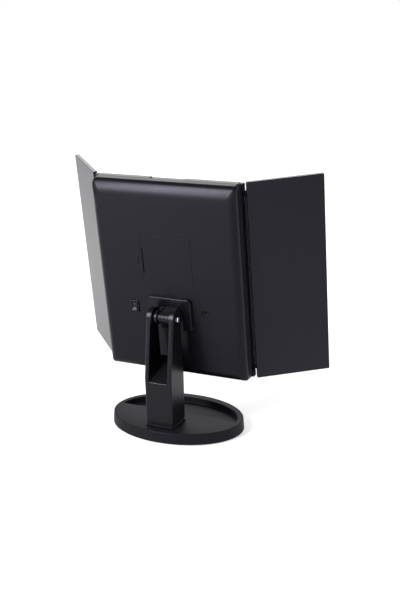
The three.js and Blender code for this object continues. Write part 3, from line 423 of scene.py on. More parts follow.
class Nodes:
    """Places and links shader nodes in one tree."""

    def __init__(self, tree: bpy.types.NodeTree) -> None:
        """Starts on a tree."""
        self.tree = tree

    def put(self, node: bpy.types.Node, key: Union[str, int], value: Value) -> None:
        """Links a socket to a node's input, or sets the input.

        Args:
            node: The node.
            key: Name or number of the input.
            value: The socket or value.
        """
        if isinstance(value, bpy.types.NodeSocket):
            self.tree.links.new(value, node.inputs[key])
        else:
            node.inputs[key].default_value = value

    def add(self, kind: str, inputs: Optional[dict[Union[str, int], Value]] = None,
            **settings: object) -> bpy.types.Node:
        """Adds a node.

        Args:
            kind: Blender's name of the node type.
            inputs: Values or sockets for its inputs, by name or number.
            **settings: Properties of the node.

        Returns:
            The node.
        """
        node = self.tree.nodes.new(kind)
        for name, value in settings.items():
            setattr(node, name, value)
        for key, value in (inputs or {}).items():
            self.put(node, key, value)
        return node

    def math(self, operation: str, *values: Value) -> bpy.types.NodeSocket:
        """The result of a sum on numbers or sockets."""
        return self.add("ShaderNodeMath", dict(enumerate(values)), operation=operation).outputs[0]

    def span(self, value: Value, low: float, high: float, to_low: float = 0.0,
             to_high: float = 1.0) -> bpy.types.NodeSocket:
        """Maps low..high smoothly to to_low..to_high."""
        return self.add("ShaderNodeMapRange", {0: value, 1: low, 2: high, 3: to_low, 4: to_high},
                        interpolation_type="SMOOTHSTEP").outputs[0]

    def noise(self, vector: Value, scale: float, detail: float = 2.0,
              roughness: float = 0.5) -> bpy.types.NodeSocket:
        """A cloud of values round a half."""
        return self.add("ShaderNodeTexNoise", {
            "Vector": vector, "Scale": scale, "Detail": detail, "Roughness": roughness}).outputs[0]

    def blend(self, share: Value, first: Value, second: Value) -> bpy.types.NodeSocket:
        """A colour between two, by a share."""
        return self.add("ShaderNodeMix", {0: share, 6: first, 7: second}, data_type="RGBA").outputs[2]

    def stretch(self, vector: Value, scale: Triple, turn: Triple = (0.0, 0.0, 0.0)) -> bpy.types.NodeSocket:
        """A vector turned and then scaled on each axis."""
        turned = self.add("ShaderNodeMapping", {"Vector": vector, "Rotation": turn}).outputs[0]
        return self.add("ShaderNodeMapping", {"Vector": turned, "Scale": scale}).outputs[0]


def fill_grain(nodes: Nodes, given: dict[str, Value]) -> dict[str, Value]:
    """Fine moulded texture: small rounded pimples over a slow unevenness.

    Args:
        nodes: The group's nodes.
        given: Its input sockets.

    Returns:
        Its output sockets.
    """
    scale = nodes.math("DIVIDE", 1000.0, given["Pitch"])
    near = nodes.add("ShaderNodeVectorMath", {0: given["Vector"], 3: scale}, operation="SCALE").outputs[0]
    pimples = nodes.add("ShaderNodeTexVoronoi", {"Vector": near, "Scale": 1.0, "Smoothness": 0.6},
                        feature="SMOOTH_F1").outputs["Distance"]
    fine = nodes.math("MULTIPLY", nodes.noise(near, scale=2.2, detail=1.0), 0.6)
    return {"Height": nodes.math("MULTIPLY_ADD", pimples, -0.7, fine),
            "Shade": nodes.span(pimples, 0.2, 0.9)}


def fill_mottle(nodes: Nodes, given: dict[str, Value]) -> dict[str, Value]:
    """Slow clouds of tone over a moulded face.

    Args:
        nodes: The group's nodes.
        given: Its input sockets.

    Returns:
        Its output sockets.
    """
    slow = nodes.math("MULTIPLY", nodes.noise(given["Vector"], scale=14.0, detail=3.0, roughness=0.55), 0.65)
    both = nodes.math("MULTIPLY_ADD", nodes.noise(given["Vector"], scale=90.0), 0.35, slow)
    return {"Mask": nodes.span(both, 0.35, 0.65)}


def fill_wear(nodes: Nodes, given: dict[str, Value]) -> dict[str, Value]:
    """Rubbed edges: the rounded faces, broken up by a patchy cloud.

    Args:
        nodes: The group's nodes.
        given: Its input sockets.

    Returns:
        Its output sockets.
    """
    marked = nodes.add("ShaderNodeAttribute", attribute_name="edge").outputs["Fac"]
    patchy = nodes.span(nodes.noise(given["Vector"], scale=160.0, detail=4.0, roughness=0.65), 0.38, 0.66)
    return {"Mask": nodes.math("MULTIPLY", nodes.math("MULTIPLY", marked, patchy), given["Amount"])}


def fill_handling(nodes: Nodes, given: dict[str, Value]) -> dict[str, Value]:
    """Faint smears where hands and cloths have been.

    Args:
        nodes: The group's nodes.
        given: Its input sockets.

    Returns:
        Its output sockets.
    """
    wide = nodes.stretch(given["Vector"], (30.0, 30.0, 11.0), (0.4, 0.3, 0.6))
    smears = nodes.span(nodes.noise(wide, scale=1.0, detail=4.0, roughness=0.6), 0.52, 0.74)
    specks = nodes.span(nodes.noise(given["Vector"], scale=420.0), 0.66, 0.76)
    total = nodes.math("MAXIMUM", smears, nodes.math("MULTIPLY", specks, 0.5))
    return {"Mask": nodes.math("MULTIPLY", total, given["Amount"])}


def fill_dust(nodes: Nodes, given: dict[str, Value]) -> dict[str, Value]:
    """A little dust on faces that look up.

    Args:
        nodes: The group's nodes.
        given: Its input sockets.

    Returns:
        Its output sockets.
    """
    normal = nodes.add("ShaderNodeTexCoord").outputs["Normal"]
    facing = nodes.add("ShaderNodeSeparateXYZ", {0: normal}).outputs["Z"]
    grains = nodes.span(nodes.noise(given["Vector"], scale=900.0, detail=3.0, roughness=0.7), 0.55, 0.75)
    lying = nodes.math("MULTIPLY", grains, nodes.span(facing, 0.5, 0.95))
    return {"Mask": nodes.math("MULTIPLY", lying, given["Amount"])}


def fill_brushed(nodes: Nodes, given: dict[str, Value]) -> dict[str, Value]:
    """Fine lines left by turning or drawing metal.

    Args:
        nodes: The group's nodes.
        given: Its input sockets.

    Returns:
        Its output sockets.
    """
    drawn = nodes.stretch(given["Vector"], (60.0, 2200.0, 2200.0))
    lines = nodes.noise(drawn, scale=1.0, detail=3.0, roughness=0.6)
    return {"Height": lines, "Mask": nodes.span(lines, 0.35, 0.65)}


# Inputs, outputs and filling function of each shared group
EFFECTS: dict[str, tuple[Sequence[str], Sequence[str], Callable]] = {
    "moulded_grain": (("Vector", "Pitch"), ("Height", "Shade"), fill_grain),
    "slow_mottle": (("Vector",), ("Mask",), fill_mottle),
    "edge_wear": (("Vector", "Amount"), ("Mask",), fill_wear),
    "handling_marks": (("Vector", "Amount"), ("Mask",), fill_handling),
    "settled_dust": (("Vector", "Amount"), ("Mask",), fill_dust),
    "brushed_lines": (("Vector",), ("Height", "Mask"), fill_brushed),
}


def effect(name: str) -> bpy.types.NodeTree:
    """A node group that several finishes share, made on first use.

    Args:
        name: Name of the group.

    Returns:
        The group.
    """
    found = bpy.data.node_groups.get(name)
    if found:
        return found
    takes, gives, fill = EFFECTS[name]
    tree = bpy.data.node_groups.new(name, "ShaderNodeTree")
    for key in takes:
        kind = "NodeSocketVector" if key == "Vector" else "NodeSocketFloat"
        tree.interface.new_socket(key, in_out="INPUT", socket_type=kind)
    for key in gives:
        tree.interface.new_socket(key, in_out="OUTPUT", socket_type="NodeSocketFloat")
    nodes = Nodes(tree)
    entry = nodes.add("NodeGroupInput")
    nodes.add("NodeGroupOutput", fill(nodes, {key: entry.outputs[key] for key in takes}))
    return tree


# Finishes

DUST = (0.32, 0.31, 0.30, 1.0)
GLASS_RIM = (0.42, 0.55, 0.50, 1.0)
LAMP_SPOT = (0.93, 0.83, 0.55, 1.0)


@dataclass
class Surface:
    """A material under construction: its nodes, the surface point and the shader."""

    nodes: Nodes
    place: bpy.types.NodeSocket
    shader: bpy.types.Node

    def effect(self, name: str, **numbers: float) -> bpy.types.Node:
        """Places a shared group with its own numbers."""
        return self.nodes.add("ShaderNodeGroup", {"Vector": self.place, **numbers}, node_tree=effect(name))

    def mask(self, name: str, **numbers: float) -> bpy.types.NodeSocket:
        """The mask of a shared group."""
        return self.effect(name, **numbers).outputs["Mask"]

    def feed(self, name: str, value: Value) -> None:
        """Links or sets one input of the shader."""
        self.nodes.put(self.shader, name, value)

    def bump(self, height: Value, strength: float, depth: float) -> None:
        """Raises the surface, over any bump that it has already.

        Args:
            height: The height over the surface.
            strength: Share of the bump that shows.
            depth: Its depth in millimetres.
        """
        inputs = {"Height": height, "Strength": strength, "Distance": depth * MM}
        for link in self.shader.inputs["Normal"].links:
            inputs["Normal"] = link.from_socket
        self.feed("Normal", self.nodes.add("ShaderNodeBump", inputs).outputs[0])


@dataclass(frozen=True)
class Finish:
    """A moulded or painted surface, and the base of the other finishes."""

    name: str
    slot: str
    colour: Triple
    roughness: float = 0.5
    specular: float = 0.5
    metallic: float = 0.0
    pitch: float = 0.45
    depth: float = 0.02
    mottle: float = 0.12
    wear: float = 0.3
    handling: float = 0.15
    dust: float = 0.05
    tint: Triple = (0.85, 0.82, 1.0)

    def material(self) -> bpy.types.Material:
        """The finish as a material, made on first use.

        Returns:
            The material.
        """
        found = bpy.data.materials.get(self.name)
        if found:
            return found
        made = bpy.data.materials.new(self.name)
        made.use_nodes = True
        made.node_tree.nodes.clear()
        nodes = Nodes(made.node_tree)
        shader = nodes.add("ShaderNodeBsdfPrincipled", {"Metallic": self.metallic})
        self.paint(Surface(nodes, nodes.add("ShaderNodeTexCoord").outputs["Object"], shader))
        nodes.add("ShaderNodeOutputMaterial", {"Surface": shader.outputs[0]})
        return made

    def tone(self, factor: float) -> tuple[float, ...]:
        """The finish's colour, lighter or darker."""
        return tuple(min(c * factor, 1.0) for c in self.colour) + (1.0,)

    def paint(self, on: Surface) -> None:
        """Gives the surface clouds of tone, rubbed edges, dust and moulded grain.

        Args:
            on: The surface.
        """
        grain = on.effect("moulded_grain", Pitch=self.pitch)
        worn = on.mask("edge_wear", Amount=self.wear)
        smear = on.mask("handling_marks", Amount=self.handling)
        dust = on.mask("settled_dust", Amount=self.dust)
        low, high = self.tone(1 - self.mottle), self.tone(1 + self.mottle)
        colour = on.nodes.blend(on.mask("slow_mottle"), low, high)
        colour = on.nodes.blend(worn, colour, self.tone(2.2))
        on.feed("Base Color", on.nodes.blend(dust, colour, DUST))
        rough = on.nodes.span(grain.outputs["Shade"], 0.0, 1.0, self.roughness - 0.03, self.roughness + 0.03)
        for mask, change in ((worn, -0.15), (smear, -0.12), (dust, 0.3)):
            rough = on.nodes.math("MULTIPLY_ADD", mask, change, rough)
        on.feed("Roughness", rough)
        on.feed("Specular IOR Level", self.specular)
        on.feed("Specular Tint", (*self.tint, 1.0))
        on.bump(grain.outputs["Height"], strength=0.35, depth=self.depth)


@dataclass(frozen=True)
class MetalFinish(Finish):
    """Turned, drawn or plated metal."""

    metallic: float = 1.0

    def paint(self, on: Surface) -> None:
        """Gives the surface brushed lines, rubbed edges and handling marks.

        Args:
            on: The surface.
        """
        lines = on.effect("brushed_lines")
        worn = on.mask("edge_wear", Amount=self.wear)
        smear = on.mask("handling_marks", Amount=self.handling)
        colour = on.nodes.blend(on.mask("slow_mottle"), self.tone(1 - self.mottle), self.tone(1.0))
        colour = on.nodes.blend(lines.outputs["Mask"], colour, self.tone(1 + self.mottle))
        on.feed("Base Color", on.nodes.blend(worn, colour, self.tone(1.3)))
        rough = on.nodes.span(lines.outputs["Mask"], 0.0, 1.0, self.roughness * 0.8, self.roughness * 1.25)
        on.feed("Roughness", on.nodes.math("MULTIPLY_ADD", smear, 0.2, rough))
        on.bump(lines.outputs["Height"], strength=0.2, depth=self.depth)


@dataclass(frozen=True)
class SilveredGlass(Finish):
    """Mirror glass: silver under a clear plate, a little smeared."""

    metallic: float = 1.0

    def paint(self, on: Surface) -> None:
        """Gives the surface a clean reflection with faint smears and a green-grey rim.

        Args:
            on: The surface.
        """
        smear = on.mask("handling_marks", Amount=self.handling)
        rim = on.mask("edge_wear", Amount=self.wear)
        colour = on.nodes.blend(rim, self.tone(1.0), GLASS_RIM)
        on.feed("Base Color", on.nodes.blend(smear, colour, self.tone(0.93)))
        rough = on.nodes.math("MULTIPLY_ADD", smear, 0.07, self.roughness)
        on.feed("Roughness", on.nodes.math("MULTIPLY_ADD", rim, 0.15, rough))
        on.bump(on.mask("slow_mottle"), strength=0.04, depth=self.depth)


@dataclass(frozen=True)
class LampStrip(Finish):
    """Frosted acrylic with the lamps just showing through."""

    first: float = -52.0
    lamp_pitch: float = 20.3

    def paint(self, on: Surface) -> None:
        """Adds a soft warm spot for each lamp to a milky surface.

        Args:
            on: The surface.
        """
        Finish.paint(self, on)
        nodes = on.nodes
        up = (0.0, math.sin(HEAD_TILT), math.cos(HEAD_TILT))
        height = nodes.add("ShaderNodeVectorMath", {0: on.place, 1: up},
                           operation="DOT_PRODUCT").outputs["Value"]
        start = (self.first + TILT_AXIS.dot(Vector(up))) * MM
        step = nodes.math("DIVIDE", nodes.math("SUBTRACT", height, start), self.lamp_pitch * MM)
        off = nodes.math("ABSOLUTE", nodes.math("SUBTRACT", nodes.math("FRACT", step), 0.5))
        spot = nodes.span(off, 0.03, 0.2, 1.0, 0.0)
        on.feed("Base Color", nodes.blend(spot, self.tone(1.0), LAMP_SPOT))


@dataclass(frozen=True)
class BoardFinish(Finish):
    """A printed board: lacquer over faint tracks."""

    def paint(self, on: Surface) -> None:
        """Adds lighter tracks to the lacquer.

        Args:
            on: The surface.
        """
        Finish.paint(self, on)
        flat = on.nodes.stretch(on.place, (1.0, 1.0, 1.0), (QUARTER, 0.0, 0.0))
        on.feed("Base Color", on.nodes.add("ShaderNodeTexBrick", {
            "Vector": flat, "Color1": self.tone(1.0), "Color2": self.tone(1.15),
            "Mortar": self.tone(1.9), "Scale": 160.0, "Mortar Size": 0.03}).outputs["Color"])


@dataclass(frozen=True)
class WingFinish(Finish):
    """Satin wing panel with faint upright flow lines."""

    flow: float = 0.05

    def paint(self, on: Surface) -> None:
        """Adds long shallow waves along the panel's height to the bump.

        Args:
            on: The surface.
        """
        Finish.paint(self, on)
        wide = on.nodes.stretch(on.place, (150.0, 150.0, 5.0), (-HEAD_TILT, 0.0, 0.0))
        on.bump(on.nodes.noise(wide, scale=1.0), strength=0.5, depth=self.flow)


class Coat(Enum):
    """The finishes of the mirror."""

    COVER = Finish("cover_black_plastic", "satin_black", (0.0034, 0.0031, 0.0044), 0.34, 0.25)
    BASE = Finish("base_black_plastic", "satin_black", (0.0046, 0.0043, 0.0054), 0.56, 0.20)
    COLUMN = Finish("column_black_plastic", "column_black", (0.0042, 0.0040, 0.0052), 0.31, 0.28)
    WING = WingFinish("wing_black_plastic", "wing_black", (0.0038, 0.0034, 0.0048), 0.30, 0.38)
    INNER = Finish("inner_black_plastic", "inner_black", (0.0045, 0.0045, 0.005), 0.55, 0.2)
    SWITCH = Finish("switch_black_plastic", "inner_black", (0.0045, 0.0043, 0.005), 0.32, 0.25)
    RUBBER = Finish("grip_rubber", "pad_rubber", (0.012, 0.012, 0.012), 0.85, 0.3, pitch=0.8,
                    depth=0.08, wear=0.1)
    WHITE = Finish("white_carrier_plastic", "white_plastic", (0.72, 0.72, 0.69))
    STRIP = LampStrip("frosted_strip", "diffuser", (0.86, 0.85, 0.80), 0.38)
    MIRROR = SilveredGlass("silvered_glass", "mirror", (0.88, 0.90, 0.91), 0.015, depth=0.01,
                           wear=0.8, handling=0.25)
    STEEL = MetalFinish("zinc_plated_steel", "steel", (0.52, 0.52, 0.51), 0.32)
    BLACKENED = MetalFinish("blackened_steel", "steel", (0.012, 0.012, 0.013), 0.45)
    CHROME = MetalFinish("satin_chrome", "chrome", (0.90, 0.90, 0.91), 0.27, mottle=0.03)
    NICKEL = MetalFinish("nickel_contact", "nickel", (0.66, 0.62, 0.54), 0.25)
    DULL_NICKEL = MetalFinish("dull_nickel", "nickel", (0.10, 0.10, 0.105), 0.4)
    BOARD = BoardFinish("printed_board", "board", (0.02, 0.11, 0.05), 0.4, mottle=0.05)
    CELL = Finish("cell_sleeve", "cell", (0.30, 0.31, 0.33), 0.28, depth=0.005, mottle=0.04)
    DIM_MARK = Finish("grey_print", "white_plastic", (0.16, 0.16, 0.16), mottle=0.05, wear=0.0)
    MARK = Finish("white_print", "white_plastic", (0.62, 0.62, 0.62), mottle=0.05, wear=0.0)


# Sub-assemblies


@dataclass
class Assembly:
    """A group of pieces that are built and dressed together."""

    made: list[tuple[bpy.types.Object, Coat]] = field(default_factory=list, init=False)

    def add(self, solid: Solid, name: str, coat: Coat, *replaced: str, body: str = "head",
            axes: Matrix = HEAD, crease: float = 32.0) -> None:
        """Makes a piece, lets it ride on its body and notes its finish.

        Args:
            solid: The finished solid.
            name: Name of the piece.
            coat: Its finish.
            *replaced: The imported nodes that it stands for.
            body: The body that it moves with.
            axes: Where the solid's axes stand at rest.
            crease: Least turn of a sharp edge in degrees.
        """
        piece = solid.to_object(name, axes, crease)
        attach(piece, body)
        if replaced:
            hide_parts(*replaced)
        self.made.append((piece, coat))

    def build(self) -> None:
        """Makes the meshes."""

    def kept(self) -> dict[str, Coat]:
        """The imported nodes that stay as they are, with their finishes."""
        return {}

    def dress(self, nodes: dict[str, bpy.types.Object]) -> None:
        """Gives each piece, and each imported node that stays, its finish.

        Args:
            nodes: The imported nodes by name.
        """
        for piece, coat in self.made:
            piece.data.materials.clear()
            piece.data.materials.append(coat.value.material())
        for name, coat in self.kept().items():
            slots = nodes[name].data.materials
            for i in range(len(slots)):
                slots[i] = coat.value.material()
            if not slots:
                slots.append(coat.value.material())


@dataclass
class OvalBase(Assembly):
    """Oval foot: shell with a tray, bottom plate, grip pad, screws and ballast."""

    half: Point = (85.0, 62.0)
    top: float = 15.0
    lift: float = 1.2
    draft: float = 0.8
    rim: float = 1.3
    wall: float = 2.4
    deck: float = 2.6
    tray_half: Point = (77.5, 50.5)
    tray_back: float = -1.5
    tray_depth: float = 7.4
    tray_rim: float = 0.7
    tray_fillet: float = 0.7
    tray_floor: float = 2.0
    tray_wall: float = 1.8
    pad_inset: float = 5.0
    pad_height: float = 1.5
    pad_rings: tuple[int, ...] = (10, 15, 20, 25, 30)
    plate: Point = (1.8, 3.6)
    screws: tuple[Point, ...] = ((-50, -22), (50, -22), (-60, 26), (60, 26))

    def oval(self, profile: Outline) -> Solid:
        """A solid with the base's outline whose edge follows a profile of inset and height."""
        turns = arc((0, 0), 1, 0, FULL, 160)[:-1]
        return Solid.loft([([((self.half[0] - i) * x, (self.half[1] - i) * y) for x, y in turns], z)
                           for i, z in profile], Axis.Z)

    def tray(self, profile: Outline) -> Solid:
        """A solid with the tray's outline, an ellipse cut off by a straight back edge.

        Args:
            profile: How far the outline grows at each height.

        Returns:
            The solid.
        """
        levels = []
        for grow, z in profile:
            a, b = self.tray_half[0] + grow, self.tray_half[1] + grow
            start = math.asin((self.tray_back + grow) / b)
            turns = arc((0, 0), 1, math.pi - start, FULL + start, 96)
            levels.append(([(a * x, b * y) for x, y in turns], z))
        return Solid.loft(levels, Axis.Z)

    def shell(self) -> Solid:
        """The shell with its rounded rim, hollow below, and the tray sunk in its deck.

        Returns:
            The shell.
        """
        foot = [(0.5, self.lift), (0.15, self.lift + 0.15), (0.0, self.lift + 0.5)]
        side = [(self.draft + i, z) for i, z in reversed(round_over(self.rim, 6, self.top, -1))]
        hollow = self.oval([(self.wall, self.lift - OVER), (self.wall + self.draft, self.top - self.deck)])
        floor = self.top - self.tray_depth
        bowl = self.tray([(self.tray_wall, floor - self.tray_floor), (self.tray_wall, self.top)])
        bottom = [(-i, z) for i, z in round_over(self.tray_fillet, 5, floor)]
        lip = reversed(round_over(self.tray_rim, 4, self.top, -1))
        well = self.tray([*bottom, *lip, (self.tray_rim + 0.4, self.top + OVER)])
        return self.oval([*foot, *side]).minus(hollow.minus(bowl), well)

    def underside(self) -> Solid:
        """The bottom plate with a countersunk well for each screw.

        Returns:
            The plate.
        """
        inset = self.wall + self.draft + GAP
        low, high = self.plate
        hole, well, edge, deep = 1.4, 2.7, 0.3, 1.3
        profile = [(0, low - OVER), (well + edge, low - OVER), (well + edge, low), (well, low + edge),
                   (well, low + deep), (hole, low + deep), (hole, high + OVER), (0, high + OVER)]
        wells = [Solid.turned(profile, Axis.Z, 32).moved(*place) for place in self.screws]
        return self.oval([(inset + edge, low), (inset, low + edge), (inset, high)]).minus(*wells)

    def pad(self) -> Solid:
        """The grip pad, with shallow rings pressed into its sole.

        Returns:
            The pad.
        """
        edge = self.pad_inset
        profile = [(edge, self.pad_height), (edge, 0.4), (edge + 0.12, 0.12), (edge + 0.4, 0.0)]
        for ring in self.pad_rings:
            profile += [(ring, 0.0), (ring + 0.3, 0.5), (ring + 1.5, 0.5), (ring + 1.8, 0.0)]
        return self.oval(profile)

    def build(self) -> None:
        """Makes shell, plate, pad and screws."""
        pieces = [(self.shell(), "base_moulding", Coat.BASE, "base_shell"),
                  (self.underside(), "base_underside", Coat.INNER, "base_bottom_plate"),
                  (self.pad(), "base_grip_pad", Coat.RUBBER, "base_pad")]
        for i, (x, y) in enumerate(self.screws, 1):
            body = screw((2.4, 1.0), 1.1, 3.5).moved(x, y, self.plate[0] + 1.0)
            pieces.append((body, f"base_plate_screw_{i}", Coat.STEEL, f"base_screw_{i}"))
        for piece in pieces:
            self.add(*piece, body="base", axes=STAND)

    def kept(self) -> dict[str, Coat]:
        """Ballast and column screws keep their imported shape."""
        return dict.fromkeys(("base_weight", "column_screw_1", "column_screw_2"), Coat.STEEL)


@dataclass
class ForkColumn(Assembly):
    """Column that forks into two arms with round knuckles."""

    half: float = 17.7
    front: float = 15.7
    back: float = 49.2
    shoulder: Point = (51.2, 76.5)
    knee: float = 79.0
    arm_front: Point = (20.6, 130.0)
    foot: float = 15.3
    edge: float = 2.4
    knuckle: float = 12.0
    inner_boss: Triple = (7.4, 11.7, 0.8)
    outer_boss: Point = (12.0, 3.4)
    undercut: float = 42.0
    slot_half: float = 12.2
    slot_floor: Point = (97.4, 71.9)
    lip: Triple = (1.1, 2.6, 0.8)
    pin_hole: float = 2.8
    counterbore: Point = (4.4, 1.7)
    nut_recess: Point = (4.9, 3.0)

    def side(self) -> Outline:
        """The column seen from the side, as y and z.

        Returns:
            The outline.
        """
        centre = (TILT_AXIS.y, TILT_AXIS.z)
        lean = math.atan2(self.shoulder[0] - centre[0] - self.knuckle, centre[1] - self.shoulder[1])
        head = arc(centre, self.knuckle, lean, math.pi + math.radians(self.undercut), 48)
        bend = (self.arm_front[0], centre[1] - self.knuckle)
        sweep = []
        for t in (i / 12 for i in range(1, 13)):
            sweep.append(tuple((1 - t) ** 2 * s + 2 * t * (1 - t) * b + t * t * e
                               for s, b, e in zip(head[-1], bend, self.arm_front)))
        low = self.foot - 2 * self.edge
        return [(self.front, low), (self.back, low), (self.back, self.foot), self.shoulder,
                *head, *sweep, (self.front, self.knee)]

    def foot_lip(self) -> Solid:
        """The small collar round the column's foot.

        Returns:
            The collar.
        """
        reach, height, slope = self.lip
        profile = [(reach - 0.25, 0.0), (reach, 0.25), (reach, height - slope),
                   (reach - 0.2, height - 0.25), (reach - slope, height)]
        return slab((2 * self.half, self.back - self.front), self.edge,
                    [(-grow, self.foot + rise) for grow, rise in profile],
                    (0.0, (self.front + self.back) / 2), 8, Axis.Z)

    def bosses(self) -> list[Solid]:
        """Round bosses on both sides of each knuckle: a ring inside and a disc outside.

        Returns:
            The bosses.
        """
        made = []
        for side in (-1, 1):
            bore, radius, proud = self.inner_boss
            face, root = side * (self.slot_half - proud), side * (self.slot_half + 0.6)
            made.append(Solid.turned([(bore, face), (radius - 0.25, face), (radius, face + side * 0.25),
                                      (radius, root), (bore, root)], Axis.X, 72, closed=True))
            radius, deep = self.outer_boss
            rim = [(radius - i, side * h) for i, h in round_over(0.6, 4, self.half, -1)]
            root = side * (self.half - deep)
            made.append(Solid.turned([(0, side * self.half), *rim, (radius, root), (0, root)], Axis.X, 72))
        return made

    def recesses(self) -> list[Solid]:
        """Tools for the pin hole and the recesses for pin head and nut.

        Returns:
            The tools.
        """
        outside = self.half + OVER
        made = [cylinder(Axis.X, self.pin_hole, -outside, outside, 32)]
        for side, (radius, deep) in ((-1, self.counterbore), (1, self.nut_recess)):
            profile = [(0, outside), (radius + 0.3, outside), (radius + 0.3, self.half),
                       (radius, self.half - 0.3), (radius, self.half - deep), (0, self.half - deep)]
            made.append(Solid.turned([(r, side * x) for r, x in profile], Axis.X, 48))
        return made

    def column(self) -> Solid:
        """The column with its slot, foot lip, bosses and recesses.

        Returns:
            The column.
        """
        body = Solid.prism(self.side(), Axis.X, -self.half, self.half)
        body.soften(self.edge, 6, 60, lambda p: abs(abs(p.x) - self.half) < 0.01)
        below = Solid.block((-40, 40), (0, 90), (0, self.foot))
        back, reach = self.shoulder[0], 6.0
        fall = (self.slot_floor[0] - self.slot_floor[1]) / (back - self.front) * reach
        top = TILT_AXIS.z + 3 * self.knuckle
        slot = Solid.prism([(self.front - reach, self.slot_floor[0] + fall),
                            (back + reach, self.slot_floor[1] - fall),
                            (back + reach, top), (self.front - reach, top)],
                           Axis.X, -self.slot_half, self.slot_half)
        slot.soften(1.0, 3, 60, lambda p: p.z < top - OVER and abs(p.y - TILT_AXIS.y) < self.knuckle * 1.2)
        body.minus(below, slot).plus(self.foot_lip())
        body.soften(0.55, 3, 50, lambda p: abs(p.x) < self.slot_half + 0.1 and p.z > self.foot + 10)
        at_axis = (0, TILT_AXIS.y, TILT_AXIS.z)
        body.plus(*[boss.moved(*at_axis) for boss in self.bosses()])
        return body.minus(*[tool.moved(*at_axis) for tool in self.recesses()])

    def build(self) -> None:
        """Makes the column."""
        self.add(self.column(), "fork_column", Coat.COLUMN, "stand_column", body="base", axes=STAND,
                 crease=38)


